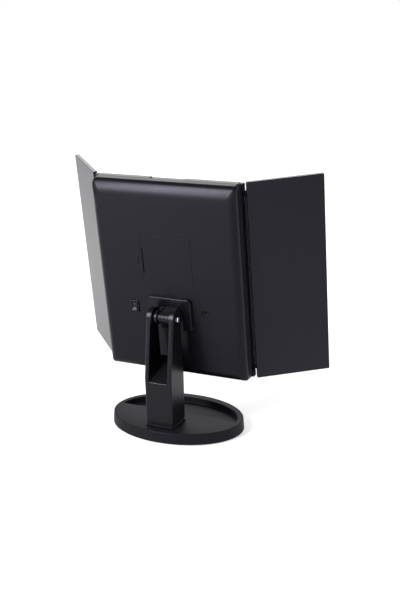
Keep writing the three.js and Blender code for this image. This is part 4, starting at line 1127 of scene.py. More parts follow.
@dataclass
class TiltHinge(Assembly):
    """Cross pin with nut and washers, and the bracket that turns on it."""

    half: float = 17.7
    pin: float = 2.5
    pin_head: float = 3.6
    head_seat: float = -16.3
    head_height: Point = (2.2, 1.4)
    nut: Point = (15.0, 17.3)
    nut_radius: float = 4.6
    washers: tuple[Point, Point] = ((-11.9, -11.2), (10.0, 11.9))
    washer_radius: float = 7.0
    barrel: Point = (-10.9, 4.4)
    barrel_radius: float = 6.8
    ribs: int = 8
    rib_depth: float = 0.14
    rib_shape: tuple[Point, ...] = ((0.0, 0.0), (0.28, 0.55), (0.5, 0.9), (0.66, 1.0), (0.82, 0.8),
                                    (0.93, 0.3))
    groove: float = 5.8
    collar: Point = (6.1, 9.9)
    collar_radius: float = 8.3
    plate_size: Point = (57.0, 40.6)
    plate_centre: float = -1.5
    plate: Point = (-17.7, -14.2)
    plate_corner: float = 4.5
    plate_edge: float = 1.0
    neck: Triple = (16.0, 10.0, 3.0)
    web: Triple = (12.0, 7.0, 3.0)

    def cross_pin(self) -> Solid:
        """The pin with its domed head on the -X side.

        Returns:
            The pin.
        """
        radius, seat, end = self.pin_head, self.head_seat, self.half - 0.8
        side, crown = self.head_height
        dome = [(radius * x, seat - side - crown * y) for y, x in arc((0, 0), 1, 0, QUARTER, 12)]
        return Solid.turned([*dome, (radius, seat - 0.1), (radius - 0.1, seat), (self.pin, seat),
                             (self.pin, end - 1.6), (self.pin - 0.8, end), (0, end)], Axis.X)

    def hex_nut(self) -> Solid:
        """The nut with chamfered corners.

        Returns:
            The nut.
        """
        low, high = self.nut
        r = self.nut_radius
        crown = Solid.turned([(0, low), (r - 0.5, low), (r + 0.1, low + 0.35), (r + 0.1, high - 0.45),
                              (r - 0.7, high), (0, high)], Axis.X)
        bore = cylinder(Axis.X, self.pin + GAP, low - OVER, high - 0.4, 32)
        return cylinder(Axis.X, r, low, high, 6).shared(crown).minus(bore)

    def washer(self, low: float, high: float) -> Solid:
        """A flat washer.

        Args:
            low: Its first face along the pin.
            high: Its other face.

        Returns:
            The washer.
        """
        inner, outer, edge = self.pin + GAP, self.washer_radius, 0.12
        return Solid.turned([(inner, low), (outer - edge, low), (outer, low + edge),
                             (outer, high - edge), (outer - edge, high), (inner, high)],
                            Axis.X, 64, closed=True)

    def ribbed(self) -> Solid:
        """Ribbed barrel, groove and collar, all in one turned piece.

        Returns:
            The barrel.
        """
        low, high = self.barrel
        start, end = self.collar
        bore, root = self.pin + GAP, self.barrel_radius - self.rib_depth
        pitch = (high - low) / self.ribs
        ribs = [(root + self.rib_depth * lift, low + (i + share) * pitch)
                for i in range(self.ribs) for share, lift in self.rib_shape]
        edge = round_over(0.9, 4)
        return Solid.turned([
            (bore, low), *ribs, (root, high), (self.groove, high + 0.15), (self.groove, start),
            *[(self.collar_radius - i, start + d) for i, d in edge],
            *[(self.collar_radius - i, end - d) for i, d in reversed(edge)], (bore, end)],
            Axis.X, 64, closed=True)

    def cheek(self, shape: Triple, across: Point) -> Solid:
        """A tapered arm from the plate to the barrel.

        Args:
            shape: Height at the plate, height at the barrel, and where the taper ends.
            across: Its two sides along the pin.

        Returns:
            The arm.
        """
        root, tip, reach = shape[0] / 2, shape[1] / 2, shape[2]
        start = self.plate[1] - 1.0
        outline = [(start, -root), (-reach, -tip), (0.0, -tip), (0.0, tip), (-reach, tip), (start, root)]
        return Solid.prism(outline, Axis.X, *across)

    def bracket(self) -> Solid:
        """Plate with rounded rim and the neck that reaches to the barrel.

        Returns:
            The bracket without its barrel.
        """
        low, high = self.plate
        plate = slab(self.plate_size, self.plate_corner,
                     [*round_over(self.plate_edge, 5, high, -1), (0.0, low)], (0, self.plate_centre), 10)
        between = (self.barrel[1] - 1, self.collar[0] + 1)
        plate.plus(self.cheek(self.neck, self.barrel), self.cheek(self.neck, self.collar),
                   self.cheek(self.web, between))
        return plate.soften(0.5, 2, 50)

    def build(self) -> None:
        """Makes pin, nut, washers, bracket and barrel."""
        self.add(self.cross_pin(), "tilt_cross_pin", Coat.CHROME, "tilt_pin", body="base", axes=TILT)
        self.add(self.hex_nut(), "tilt_lock_nut", Coat.STEEL, "tilt_nut", body="base", axes=TILT, crease=25)
        for span, word, side in zip(self.washers, ("thin", "thick"), ("left", "right")):
            self.add(self.washer(*span), f"tilt_{word}_washer", Coat.COLUMN, f"tilt_washer_{side}",
                     body="base", axes=TILT)
        self.add(self.bracket(), "bracket_plate", Coat.COLUMN, "tilt_bracket")
        self.add(self.ribbed(), "bracket_barrel", Coat.COLUMN, "tilt_bracket", crease=50)

    def kept(self) -> dict[str, Coat]:
        """The bracket's screws sit inside the casing."""
        return {f"bracket_screw_{i}": Coat.STEEL for i in range(1, 5)}


@dataclass
class Casing(Assembly):
    """Pillow-shaped cover, front frame, centre glass and light strips."""

    width: float = 186.6
    height: float = 242.8
    centre: float = 38.1
    back: float = -18.0
    front: float = -43.0
    corner: Point = (4.5, 3.0)
    corner_gain: float = 4.0
    wall: float = 2.2
    cover_front: float = -34.7
    frame_back: float = -35.0
    draft: float = 0.5
    shoulders: tuple[Point, Point, Point] = ((10.0, 8.5), (24.0, 11.5), (10.0, 8.0))
    bezel: float = 4.0
    ledge: float = 5.0
    ledge_span: Point = (-39.4, -37.4)
    notch: Triple = (42.0, 1.1, 0.8)
    door: Point = (0.5, 65.0)
    door_size: Point = (66.0, 59.5)
    seam: float = 0.2
    scoop: Triple = (7.2, 3.0, 9.5)
    scoop_rise: float = -3.0
    scoop_lift: float = 1.8
    switch: Point = (47.6, 2.2)
    switch_hole: Point = (9.4, 13.9)
    socket: Point = (-46.0, 2.9)
    socket_hole: Point = (9.4, 5.4)
    strip: float = 10.0
    glass: float = 3.0
    hinge: Point = (95.2, -43.5)
    hinge_radius: float = 1.6
    hinge_zone: float = 9.5
    lug: Point = (6.0, 1.4)
    post: Triple = (4.3, 6.4, 0.5)

    def layers(self, profile: Outline) -> list[Level]:
        """Casing outlines that follow a profile of inset and depth."""
        half = (self.width / 2, self.height / 2)
        return [(cornered(half, (i, i, i), [max(c - i, 0.5) for c in self.corner], (0, self.centre), 8), n)
                for i, n in profile]

    def loft(self, profile: Outline) -> Solid:
        """A casing-shaped solid whose edge follows a profile of inset and depth."""
        return Solid.loft(self.layers(profile), Axis.Y)

    def pillow(self, skin: float) -> list[Level]:
        """Levels of the rounded shoulder.

        Args:
            skin: How far they lie below the outer surface.

        Returns:
            Outlines with their depths, from the side wall to the flat back.
        """
        deepest = max(rise for _, rise in self.shoulders)
        half = (self.width / 2, self.height / 2)
        levels = []
        for turn in (QUARTER * i / 18 for i in range(19)):
            sunk = deepest * (1 - math.sin(turn))
            insets = []
            for reach, rise in self.shoulders:
                share = max(0.0, 1 - sunk / rise)
                insets.append(self.draft + 0.85 * skin + reach * (1 - math.sqrt(1 - share ** 2)))
            radii = [max(c + self.corner_gain * (1 - math.cos(turn)) - skin, 0.6) for c in self.corner]
            levels.append((cornered(half, insets, radii, (0, self.centre), 8), self.back - skin - sunk))
        return levels

    def cover(self) -> Solid:
        """The rear cover with its openings.

        Returns:
            The cover.
        """
        skirt = self.layers([(0.35, self.cover_front), (0.05, self.cover_front + 0.35)])
        mouth = self.layers([(self.wall, self.cover_front - OVER)])
        hollow = Solid.loft([*mouth, *self.pillow(self.wall)[::3]], Axis.Y)
        bay = (self.door_size[0] + 2 * self.seam, self.door_size[1] + 2 * self.seam)
        return Solid.loft([*skirt, *self.pillow(0.0)], Axis.Y).minus(
            hollow, self.opening(bay, 1.4, self.door), self.opening(self.switch_hole, 0.6, self.switch),
            self.opening(self.socket_hole, 1.2, self.socket), self.dish())

    def opening(self, size: Point, radius: float, centre: Point) -> Solid:
        """A tool for an opening in the back, with a fine chamfer at the surface.

        Args:
            size: Width and height of the opening.
            radius: Radius of its corners.
            centre: Its middle.

        Returns:
            The tool.
        """
        chamfer = 0.12
        return slab(size, radius, [(0, self.back - 6), (0, self.back - chamfer), (-chamfer, self.back),
                                   (-chamfer, self.back + OVER)], centre)

    def dish(self) -> Solid:
        """A tool for the shallow finger scoop beside the door.

        Returns:
            The tool.
        """
        profile = [(x, -y) for y, x in arc((0, 0), 1, 0, math.pi, 24)]
        ball = Solid.turned(profile, Axis.Y).sent(Matrix.Diagonal((*self.scoop, 1.0)))
        return ball.moved(self.door[0] + self.door_size[0] / 2, self.back + self.scoop_lift,
                          self.door[1] + self.scoop_rise)

    def lugs(self) -> list[Solid]:
        """The rounded hinge lugs and posts at the corners, and the ribs behind the barrels.

        Returns:
            The solids to join to the frame.
        """
        across, deep = self.hinge
        length, thick = self.lug
        wide, tall, radius = self.post
        inside, half = self.width / 2 - OVER, self.height / 2 - self.hinge_zone
        posts, lugs = [], []
        for side in (-1, 1):
            middle = (side * (across - wide / 2), self.front + tall / 2)
            for end in (-1, 1):
                edge = self.centre + end * self.height / 2
                profile = [(i, edge - end * below) for i, below in (
                    (0.0, self.hinge_zone - 0.4), (0.0, 1.1), (0.25, 0.45), (0.9, 0.1))]
                posts.append(slab((wide, tall), radius, profile, middle, axis=Axis.Z))
                low, high = sorted((self.centre + end * half, self.centre + end * (half - length)))
                lugs.append(cylinder(Axis.Z, self.hinge_radius, low, high, 32, 0.25)
                            .moved(side * across, deep))
                lugs.append(Solid.block(sorted((side * inside, side * across)),
                                        (self.front, self.front + thick), (low, high)))
            low = deep + self.hinge_radius + 0.4
            lugs.append(Solid.block(sorted((side * inside, side * (self.width / 2 + 1.1))),
                                    (low, low + 1.0), (self.centre - half, self.centre + half)))
        return posts + lugs

    def frame(self) -> Solid:
        """The front frame with bezel, ledge, finger notch and hinge lugs.

        Returns:
            The frame.
        """
        before, behind, mouth = self.front - OVER, self.frame_back + OVER, 0.35
        low, high = self.ledge_span
        outer = self.loft([*round_over(0.9, 5, self.front), (0.0, self.frame_back - 0.2),
                           (0.2, self.frame_back)])
        pocket = self.loft([(self.bezel - mouth, before), (self.bezel - mouth, self.front),
                            (self.bezel, self.front + mouth), (self.bezel, low)])
        window = self.loft([(self.bezel + self.ledge, before), (self.bezel + self.ledge, behind)])
        rear = self.loft([(self.wall, high), (self.wall, behind)])
        top = self.centre + self.height / 2
        width, deep, slope = self.notch
        narrow, broad = width / 2, width / 2 + 2 * slope
        notch = Solid.prism([(-narrow, top - deep), (narrow, top - deep), (broad, top + deep),
                             (-broad, top + deep)], Axis.Y, before, behind)
        half = self.height / 2 - self.hinge_zone - 0.15
        holes = [cylinder(Axis.Z, 1.1, self.centre - half, self.centre + half, 24)
                 .moved(side * self.hinge[0], self.hinge[1]) for side in (-1, 1)]
        return outer.minus(pocket, window, rear, notch).plus(*self.lugs()).minus(*holes)

    def pane(self, span: Point, radius: float) -> Solid:
        """A pane with polished edges.

        Args:
            span: Its two sides.
            radius: Radius of its corners.

        Returns:
            The pane.
        """
        face = self.front + GAP
        return slab((span[1] - span[0], self.height - 2 * self.bezel - 2 * GAP), radius,
                    [(0.45, face), (0.15, face + 0.12), (0.0, face + 0.4), (0.0, face + self.glass)],
                    ((span[0] + span[1]) / 2, self.centre), 4, follow=False)

    def touch_mark(self) -> Solid:
        """The ring with a bar that marks the touch switch, printed on the glass.

        Returns:
            The print.
        """
        low, high = self.front + GAP - 0.06, self.front + GAP - 0.01
        rise = self.centre - self.height / 2 + 24
        gap = math.radians(38)
        start, end = QUARTER + gap, QUARTER + FULL - gap
        outline = arc((0, rise), 3.9, start, end, 40) + arc((0, rise), 3.3, end, start, 40)
        bar = slab((0.6, 3.6), 0.28, [(0, low), (0, high)], (0, rise + 3.2), 4)
        return Solid.prism(outline, Axis.Y, low, high).plus(bar)

    def build(self) -> None:
        """Makes cover, frame, glass, strips and touch mark."""
        self.add(self.cover(), "rear_cover_moulding", Coat.COVER, "rear_cover", crease=36)
        self.add(self.frame(), "front_frame_moulding", Coat.COVER, "front_frame", crease=36)
        inner = self.width / 2 - self.bezel - GAP - self.strip
        self.add(self.pane((-inner + GAP, inner - GAP), 0.8), "centre_glass", Coat.MIRROR, "centre_mirror")
        for side, word in ((-1, "left"), (1, "right")):
            span = sorted((side * inner, side * (inner + self.strip)))
            self.add(self.pane(span, 1.4), f"light_strip_{word}", Coat.STRIP, f"light_diffuser_{word}")
        self.add(self.touch_mark(), "touch_mark", Coat.MARK)

    def kept(self) -> dict[str, Coat]:
        """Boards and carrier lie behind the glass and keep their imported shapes."""
        boards = ("led_board_left", "led_board_right", "touch_sensor", "control_board")
        return {"led_carrier": Coat.WHITE, **dict.fromkeys(boards, Coat.BOARD)}


@dataclass
class BatteryBay(Assembly):
    """Tray with four cells and their contacts, closed by a hinged door."""

    casing: Casing
    inside: float = -20.2
    floor: float = -35.1
    half: Point = (30.55, 28.7)
    tray_wall: float = 1.3
    flange: Point = (1.2, 3.6)
    saddle: tuple[Point, ...] = ((2.6, -0.4), (1.3, 0.9), (0.6, 2.2), (0.35, 3.6))
    cell_radius: float = 7.1
    cell_body: float = 49.2
    nub: Point = (2.7, 1.2)
    pitch: float = 15.2
    cell_depth: float = -27.7
    door_thick: float = 2.0
    tab: Triple = (8.0, 2.0, 1.3)
    tab_spread: float = 36.0
    slit: tuple[float, float, float, float] = (2.6, 1.3, 31.5, -2.5)
    strip: Triple = (9.0, 1.2, 0.5)
    wire: float = 0.4
    coil: Triple = (4.4, 2.6, 3.3)
    coils: int = 3

    def door(self) -> Solid:
        """The door with its latch slit and hinge tabs.

        Returns:
            The door.
        """
        (u, w), (width, height) = self.casing.door, self.casing.door_size
        back = self.casing.back
        inner = back - self.door_thick
        plate = slab((width, height), 1.2, [*round_over(0.16, 3, back, -1), (0.0, inner)], (u, w))
        wide, reach, thick = self.tab
        edge, high = u - width / 2, self.inside - GAP
        low = high - thick
        tabs = []
        for side in (-1, 1):
            middle = w + side * self.tab_spread / 2
            span = (middle - wide / 2, middle + wide / 2)
            tabs += [Solid.block((edge + 0.25, edge + 1.6), (low, inner + 0.4), span),
                     Solid.block((edge - reach, edge + 1.6), (low, high), span)]
        inset, gap, length, rise = self.slit
        slit = slab((gap, length), gap * 0.49, [(0, low - OVER), (0, back + OVER)],
                    (u + width / 2 - inset, w + rise))
        return plate.plus(*tabs).minus(slit)

    def tray(self) -> Solid:
        """The tray with a flange and a rounded saddle between the cells.

        Returns:
            The tray.
        """
        (a, b), thin, (lip, reach) = self.half, self.tray_wall, self.flange
        top = self.inside - GAP
        body = Solid.block((-a - thin, a + thin), (self.floor - thin, top), (-b - thin, b + thin))
        rim = Solid.block((-a - thin, a + thin), (top - lip, top), (-b - reach, b + reach))
        bay = Solid.block((-a, a), (self.floor, top + OVER), (-b, b))
        relief = [Solid.block(sorted((s * a, s * (a + OVER))), (top - 2.6, top + OVER), (-b - 6, b + 6))
                  for s in (-1, 1)]
        body.plus(rim).minus(bay, *relief)
        for i in (-1, 0, 1):
            right = [(i * self.pitch + x, self.floor + y) for x, y in self.saddle]
            left = [(i * self.pitch - x, self.floor + y) for x, y in reversed(self.saddle)]
            body.plus(Solid.prism([*right, *left], Axis.Z, -22, 22))
        return body.soften(0.25, 2, 60).moved(self.casing.door[0], 0, self.casing.door[1])

    def can(self) -> Solid:
        """A cell's steel can along +z.

        Returns:
            The can.
        """
        (nub, rise), r = self.nub, self.cell_radius - 0.15
        low = -(self.cell_body + rise) / 2
        high = low + self.cell_body
        return Solid.turned([(0, low + 0.25), (r - 2.0, low + 0.25), (r - 1.6, low), (r - 0.6, low),
                             (r, low + 0.5), (r, high - 0.5), (r - 0.5, high - 0.05), (3.6, high - 0.15),
                             (nub, high), (nub, high + 0.9), (nub - 0.4, high + rise), (0, high + rise)],
                            Axis.Z)

    def sleeve(self) -> Solid:
        """The printed sleeve round a cell.

        Returns:
            The sleeve.
        """
        r, low = self.cell_radius, -(self.cell_body + self.nub[1]) / 2
        high = low + self.cell_body
        return Solid.turned([(r - 0.25, low + 0.5), (r - 0.05, low + 0.35), (r, low + 0.7), (r, high - 0.7),
                             (r - 0.05, high - 0.35), (r - 1.3, high - 0.1), (r - 1.3, high - 0.4),
                             (r - 0.25, high - 0.9)], Axis.Z, closed=True)

    def spring(self) -> Solid:
        """A conical spring of round wire along +z.

        Returns:
            The spring.
        """
        wide, narrow, height = self.coil
        path = []
        for share in (i / (28 * self.coils) for i in range(28 * self.coils + 1)):
            turn = share * self.coils * FULL
            radius = wide + (narrow - wide) * share
            path.append(Vector((radius * math.cos(turn), radius * math.sin(turn), height * share)))
        rows = []
        for i, point in enumerate(path):
            along = (path[min(i + 1, len(path) - 1)] - path[max(i - 1, 0)]).normalized()
            across = along.cross(Vector((0.0, 0.0, 1.0))).normalized()
            rise = across.cross(along)
            rows.append([point + across * x + rise * y for x, y in arc((0, 0), self.wire, 0, FULL, 10)[:-1]])
        return Solid.grid(rows)

    def contact(self, end: int, cells: Sequence[int]) -> Solid:
        """A contact strip with a spring or a pressed nub for each cell.

        Args:
            end: 1 at the top of the bay, -1 at its bottom.
            cells: Numbers of the cells that it touches.

        Returns:
            The contact.
        """
        wall, deep = end * (self.half[1] - GAP), self.cell_depth
        places = [(i - 1.5) * self.pitch for i in cells]
        tall, radius, thick = self.strip
        strip = slab((places[-1] - places[0] + tall, tall), radius,
                     [(0, z) for z in sorted((wall, wall - end * thick))],
                     ((places[0] + places[-1]) / 2, deep), 4, Axis.Z)
        for i, x in zip(cells, places):
            if self.way(i) == end:
                nub = Solid.turned([(0, 0), (2.2, 0), (1.6, 0.22), (0, 0.25)], Axis.Z, 24)
                nub.sent(Matrix.Diagonal((1, 1, -end, 1))).moved(x, deep, wall - end * 0.45)
                bmesh.ops.recalc_face_normals(nub.mesh, faces=nub.mesh.faces)
                strip.plus(nub)
            else:
                strip.plus(self.spring().sent(Matrix.Diagonal((1, -end, -end, 1)))
                           .moved(x, deep, wall - end * 0.65))
        return strip

    @staticmethod
    def way(cell: int) -> int:
        """The end at which a cell has its nub: 1 is the top, -1 the bottom."""
        return 1 if cell % 2 == 0 else -1

    def build(self) -> None:
        """Makes door, tray, cells and contacts."""
        u, w = self.casing.door
        self.add(self.door(), "battery_door_panel", Coat.COVER, "battery_door", body="door")
        self.add(self.tray(), "battery_tray_moulding", Coat.INNER, "battery_tray")
        offset = self.half[1] - 2 * GAP - 0.5 - (self.cell_body + self.nub[1]) / 2
        for i in range(4):
            axes = HEAD @ Matrix.Translation((u + (i - 1.5) * self.pitch, self.cell_depth,
                                              w + self.way(i) * offset))
            if self.way(i) < 0:
                axes = axes @ Matrix.Rotation(math.pi, 4, "X")
            self.add(self.can(), f"cell_can_{i + 1}", Coat.STEEL, f"battery_cell_{i + 1}", axes=axes)
            self.add(self.sleeve(), f"cell_sleeve_{i + 1}", Coat.CELL, f"battery_cell_{i + 1}", axes=axes)
        for name, end, cells in (("top_plus", 1, [0]), ("top_link", 1, [1, 2]), ("top_minus", 1, [3]),
                                 ("bottom_link_1", -1, [0, 1]), ("bottom_link_2", -1, [2, 3])):
            self.add(self.contact(end, cells).moved(u, 0, w), f"spring_plate_{name}", Coat.NICKEL,
                     f"contact_{name}")


@dataclass
class RockerSwitch(Assembly):
    """Snap-in rocker switch: housing, key and its two marks."""

    casing: Casing
    bezel: Point = (10.8, 15.2)
    seat: float = -17.7
    rise: float = 1.3
    body: Triple = (8.8, 13.3, 14.5)
    pocket: float = 12.0
    key_half: Point = (3.2, 5.1)
    radius: float = 5.0
    pivot: float = -18.4
    key_rise: float = 3.1
    dip: float = 1.7
    rest: float = 10.0
    print: float = 0.12

    def housing(self) -> Solid:
        """Housing with bezel, key pocket and two terminals.

        Returns:
            The housing.
        """
        top = self.seat + self.rise
        plate = slab(self.bezel, 1.0, [*round_over(1.0, 5, top, -1), (0.0, self.seat)], follow=False)
        a, b, rear = self.body[0] / 2, self.body[1] / 2, self.seat - self.body[2]
        box = Solid.block((-a, a), (rear, self.seat + 0.65), (-b, b))
        pins = [Solid.block((-2.4, 2.4), (rear - 1.1, rear + 1.1), (s * 3.6 - 0.4, s * 3.6 + 0.4))
                for s in (-1, 1)]
        half = (self.key_half[0] + GAP, self.pocket / 2)
        pocket = []
        for grow, radius, n in ((0.0, 0.3, self.pivot - 5.3), (0.0, 0.3, top - 0.25),
                                (0.25, 0.5, top + 0.01), (0.25, 0.5, top + OVER)):
            pocket.append((cornered(half, (-grow, -grow, -grow), (radius, radius), (0, 0), 3), n))
        return plate.plus(box, *pins).minus(Solid.loft(pocket, Axis.Y))

    def key(self) -> Solid:
        """The dished key with softened edges, about its pivot.

        Returns:
            The key.
        """
        half, length = self.key_half
        under = arc((0, 0), self.radius, -QUARTER, -3 * QUARTER, 20)
        side = [*under, (self.key_rise, length), (self.dip, 0.0), (self.key_rise, -length)]
        return Solid.prism(side, Axis.X, -half, half).soften(0.3, 3, 40, lambda p: p.y > 0.5)

    def mark(self, shape: Solid, way: int) -> Solid:
        """Lays a print on one half of the key's face.

        Args:
            shape: The print, flat at the origin.
            way: 1 for the upper half, -1 for the lower.

        Returns:
            The print in its place.
        """
        slope = math.atan2(self.key_rise - self.dip, self.key_half[1])
        middle = self.key_half[1] * 0.52
        spot = Matrix.Translation((0, self.dip + math.tan(slope) * middle - self.print / 2, way * middle))
        return shape.sent(spot @ Matrix.Rotation(-way * slope, 4, "X"))

    def build(self) -> None:
        """Makes housing, key and marks."""
        u, w = self.casing.switch
        self.add(self.housing(), "switch_housing", Coat.SWITCH, "switch_body",
                 axes=HEAD @ Matrix.Translation((u, 0, w)))
        pivot = HEAD @ Matrix.Translation((u, self.pivot, w)) @ Matrix.Rotation(
            math.radians(self.rest), 4, "X")
        ring = Solid.turned([(0.72, 0), (1.12, 0), (1.12, self.print), (0.72, self.print)], Axis.Y, 32,
                            closed=True)
        bar = slab((0.5, 2.0), 0.12, [(0, 0.0), (0, self.print)], steps=3)
        for solid, name, coat, *nodes in ((self.key(), "key", Coat.COLUMN, "switch_rocker"),
                                          (self.mark(ring, -1), "mark_ring", Coat.DIM_MARK),
                                          (self.mark(bar, 1), "mark_bar", Coat.DIM_MARK)):
            self.add(solid, f"switch_{name}", coat, *nodes, body="rocker", axes=pivot)


@dataclass
class PowerSocket(Assembly):
    """Small power socket on its board, behind a window in the cover."""

    casing: Casing
    size: Triple = (7.6, 2.8, 5.6)
    mouth: float = -19.2
    shell: float = 0.35
    tongue: Triple = (2.0, 0.8, 0.6)
    board: Triple = (6.5, -33.5, -20.5)

    def build(self) -> None:
        """Makes shell, tongue and board."""
        axes = HEAD @ Matrix.Translation((self.casing.socket[0], 0, self.casing.socket[1]))
        width, height, length = self.size
        rear, t, face = self.mouth - length, self.shell, self.mouth
        inner = slab((width, height), 0.8, [(t, rear + 1), (t, face - 0.3), (0.1, face + 0.05),
                                            (0.1, face + OVER)], steps=6)
        shell = slab((width, height), 0.8, [(0, rear), (0, face)], steps=6).minus(inner)
        self.add(shell, "socket_shell", Coat.DULL_NICKEL, "power_socket", axes=axes)
        half, sunk, thick = self.tongue
        tongue = Solid.block((-half, half), (rear + 0.4, face - sunk), (0.0, thick))
        self.add(tongue.soften(0.08, 1), "socket_tongue", Coat.INNER, axes=axes)
        low = -height / 2 + t / 2
        board = Solid.block((-self.board[0], self.board[0]), self.board[1:], (low - 1.2, low))
        self.add(board.soften(0.1, 1), "socket_board", Coat.BOARD, axes=axes)


@dataclass
class Wing(Assembly):
    """A side wing: backing with barrel, glass, and the hinge pins in the casing."""

    casing: Casing
    side: int
    angle: float
    magnifies: bool
    start: float = 0.2
    width: float = 89.2
    height: float = 245.7
    bottom: float = -85.2
    thick: float = 5.1
    corner: float = 1.4
    edge: float = 0.6
    bezel: float = 3.2
    glass: float = 2.0
    glass_corner: float = 1.2
    recess: float = 0.3
    bar: float = 3.0
    dish: float = 0.5
    dish_grid: tuple[int, int] = (28, 36)
    lug_room: float = 6.8
    web: float = 0.9
    pin: Point = (0.8, 12.7)
    pin_hole: float = 1.1

    def __post_init__(self) -> None:
        """Works out the wing's body, middle and axes."""
        self.body = "wing_right" if self.side > 0 else "wing_left"
        self.middle = (self.side * (self.start + self.width / 2), self.bottom + self.height / 2)
        across, deep = self.casing.hinge
        self.hinge = HEAD @ Matrix.Translation((self.side * across, deep, 0))
        self.axes = self.hinge @ Matrix.Rotation(-self.side * math.radians(self.angle), 4, "Z")

    def pockets(self) -> list[Point]:
        """Height and middle of each pane's pocket.

        Returns:
            One pair for each pane, from the top.
        """
        full = self.height - 2 * self.bezel
        if not self.magnifies:
            return [(full, self.middle[1])]
        part = (full - self.bar) / 2
        return [(part, self.middle[1] + s * (part + self.bar) / 2) for s in (1, -1)]

    def backing(self) -> Solid:
        """The panel with rounded edges, its glass pockets and the hinge barrel.

        Returns:
            The backing.
        """
        rim = [*round_over(self.edge, 4, self.thick, -1), *reversed(round_over(self.edge, 4))]
        panel = slab((self.width, self.height), self.corner, rim, self.middle, 6)
        profile = [(-0.3, -OVER), (-0.3, 0.0), (0.0, 0.3), (0.0, self.recess + self.glass + GAP)]
        tools = [slab((self.width - 2 * self.bezel, height), 1.4, profile, (self.middle[0], z))
                 for height, z in self.pockets()]
        half = self.casing.height / 2 - self.casing.hinge_zone - 6.4
        low, high = self.casing.centre - half, self.casing.centre + half
        radius, room = self.casing.hinge_radius, self.lug_room
        barrel = cylinder(Axis.Z, radius, low, high, 32, 0.2)
        web = Solid.block(sorted((0.0, self.side * (self.start + 0.4))), (0.0, self.web), (low, high))
        reliefs = [cylinder(Axis.Z, radius + 0.4, a, a + room, 32) for a in (low - room, high)]
        bores = [cylinder(Axis.Z, self.pin_hole, a, a + 9, 24) for a in (low - OVER, high - 7)]
        return panel.minus(*tools, *reliefs).plus(barrel, web).minus(*bores)

    def pane(self, height: float, z: float) -> Solid:
        """A flat pane with polished edges.

        Args:
            height: Height of its pocket.
            z: Middle of its pocket.

        Returns:
            The pane.
        """
        face = self.recess
        return slab((self.width - 2 * self.bezel - 2 * GAP, height - 2 * GAP), self.glass_corner,
                    [(0.5, face), (0.15, face + 0.15), (0.0, face + 0.5), (0.0, face + self.glass)],
                    (self.middle[0], z), follow=False)

    def magnifier(self, height: float, z: float) -> Solid:
        """A pane whose face is hollowed to a shallow bowl.

        Args:
            height: Height of its pocket.
            z: Middle of its pocket.

        Returns:
            The pane.
        """
        x, back = self.middle[0], self.recess + self.glass
        width, tall = self.width - 2 * self.bezel - 2 * GAP, height - 2 * GAP
        reach = (width ** 2 + tall ** 2) / 4
        columns, lines = self.dish_grid
        mesh = bmesh.new()
        rows = []
        for b in (tall * (j / lines - 0.5) for j in range(lines + 1)):
            row = []
            for a in (width * (i / columns - 0.5) for i in range(columns + 1)):
                sag = self.dish * (1 - (a * a + b * b) / reach)
                row.append(mesh.verts.new((x + a, self.recess + sag, z + b)))
            rows.append(row)
        for low, high in zip(rows, rows[1:]):
            for i in range(columns):
                mesh.faces.new((low[i], low[i + 1], high[i + 1], high[i]))
        rim = rows[0] + [r[-1] for r in rows[1:]] + rows[-1][-2::-1] + [r[0] for r in rows[-2:0:-1]]
        base = [mesh.verts.new((v.co.x, back, v.co.z)) for v in rim]
        for i in range(len(rim)):
            j = (i + 1) % len(rim)
            mesh.faces.new((rim[i], base[i], base[j], rim[j]))
        mesh.faces.new(base)
        bmesh.ops.recalc_face_normals(mesh, faces=mesh.faces)
        shape = slab((width, tall), self.glass_corner, [(0, -OVER), (0, back + OVER)], (x, z))
        return Solid(mesh).shared(shape).soften(0.3, 2, 50, lambda p: p.y < back - 0.3)

    def hinge_pin(self, end: int) -> Solid:
        """A pin in one corner of the casing.

        Args:
            end: 1 for the top corner, -1 for the bottom one.

        Returns:
            The pin.
        """
        outer = self.casing.centre + end * (self.casing.height / 2 - self.casing.hinge_zone - GAP)
        low, high = sorted((outer, outer - end * self.pin[1]))
        return cylinder(Axis.Z, self.pin[0], low, high, 24, 0.2)

    def build(self) -> None:
        """Makes backing, panes and pins."""
        self.add(self.backing(), f"{self.body}_backing", Coat.WING, f"{self.body}_shell",
                 body=self.body, axes=self.axes, crease=36)
        words = [("upper_glass", "magnifier_upper"), ("lower_glass", "magnifier_lower")]
        make = self.magnifier if self.magnifies else self.pane
        for pocket, (word, node) in zip(self.pockets(), words if self.magnifies else [("glass", "mirror")]):
            self.add(make(*pocket), f"{self.body}_{word}", Coat.MIRROR, f"{self.body}_{node}",
                     body=self.body, axes=self.axes)
        for end, word in ((1, "top"), (-1, "bottom")):
            self.add(self.hinge_pin(end), f"{self.body}_hinge_{word}", Coat.BLACKENED,
                     f"{self.body}_pin_{word}", axes=self.hinge)


# Studio


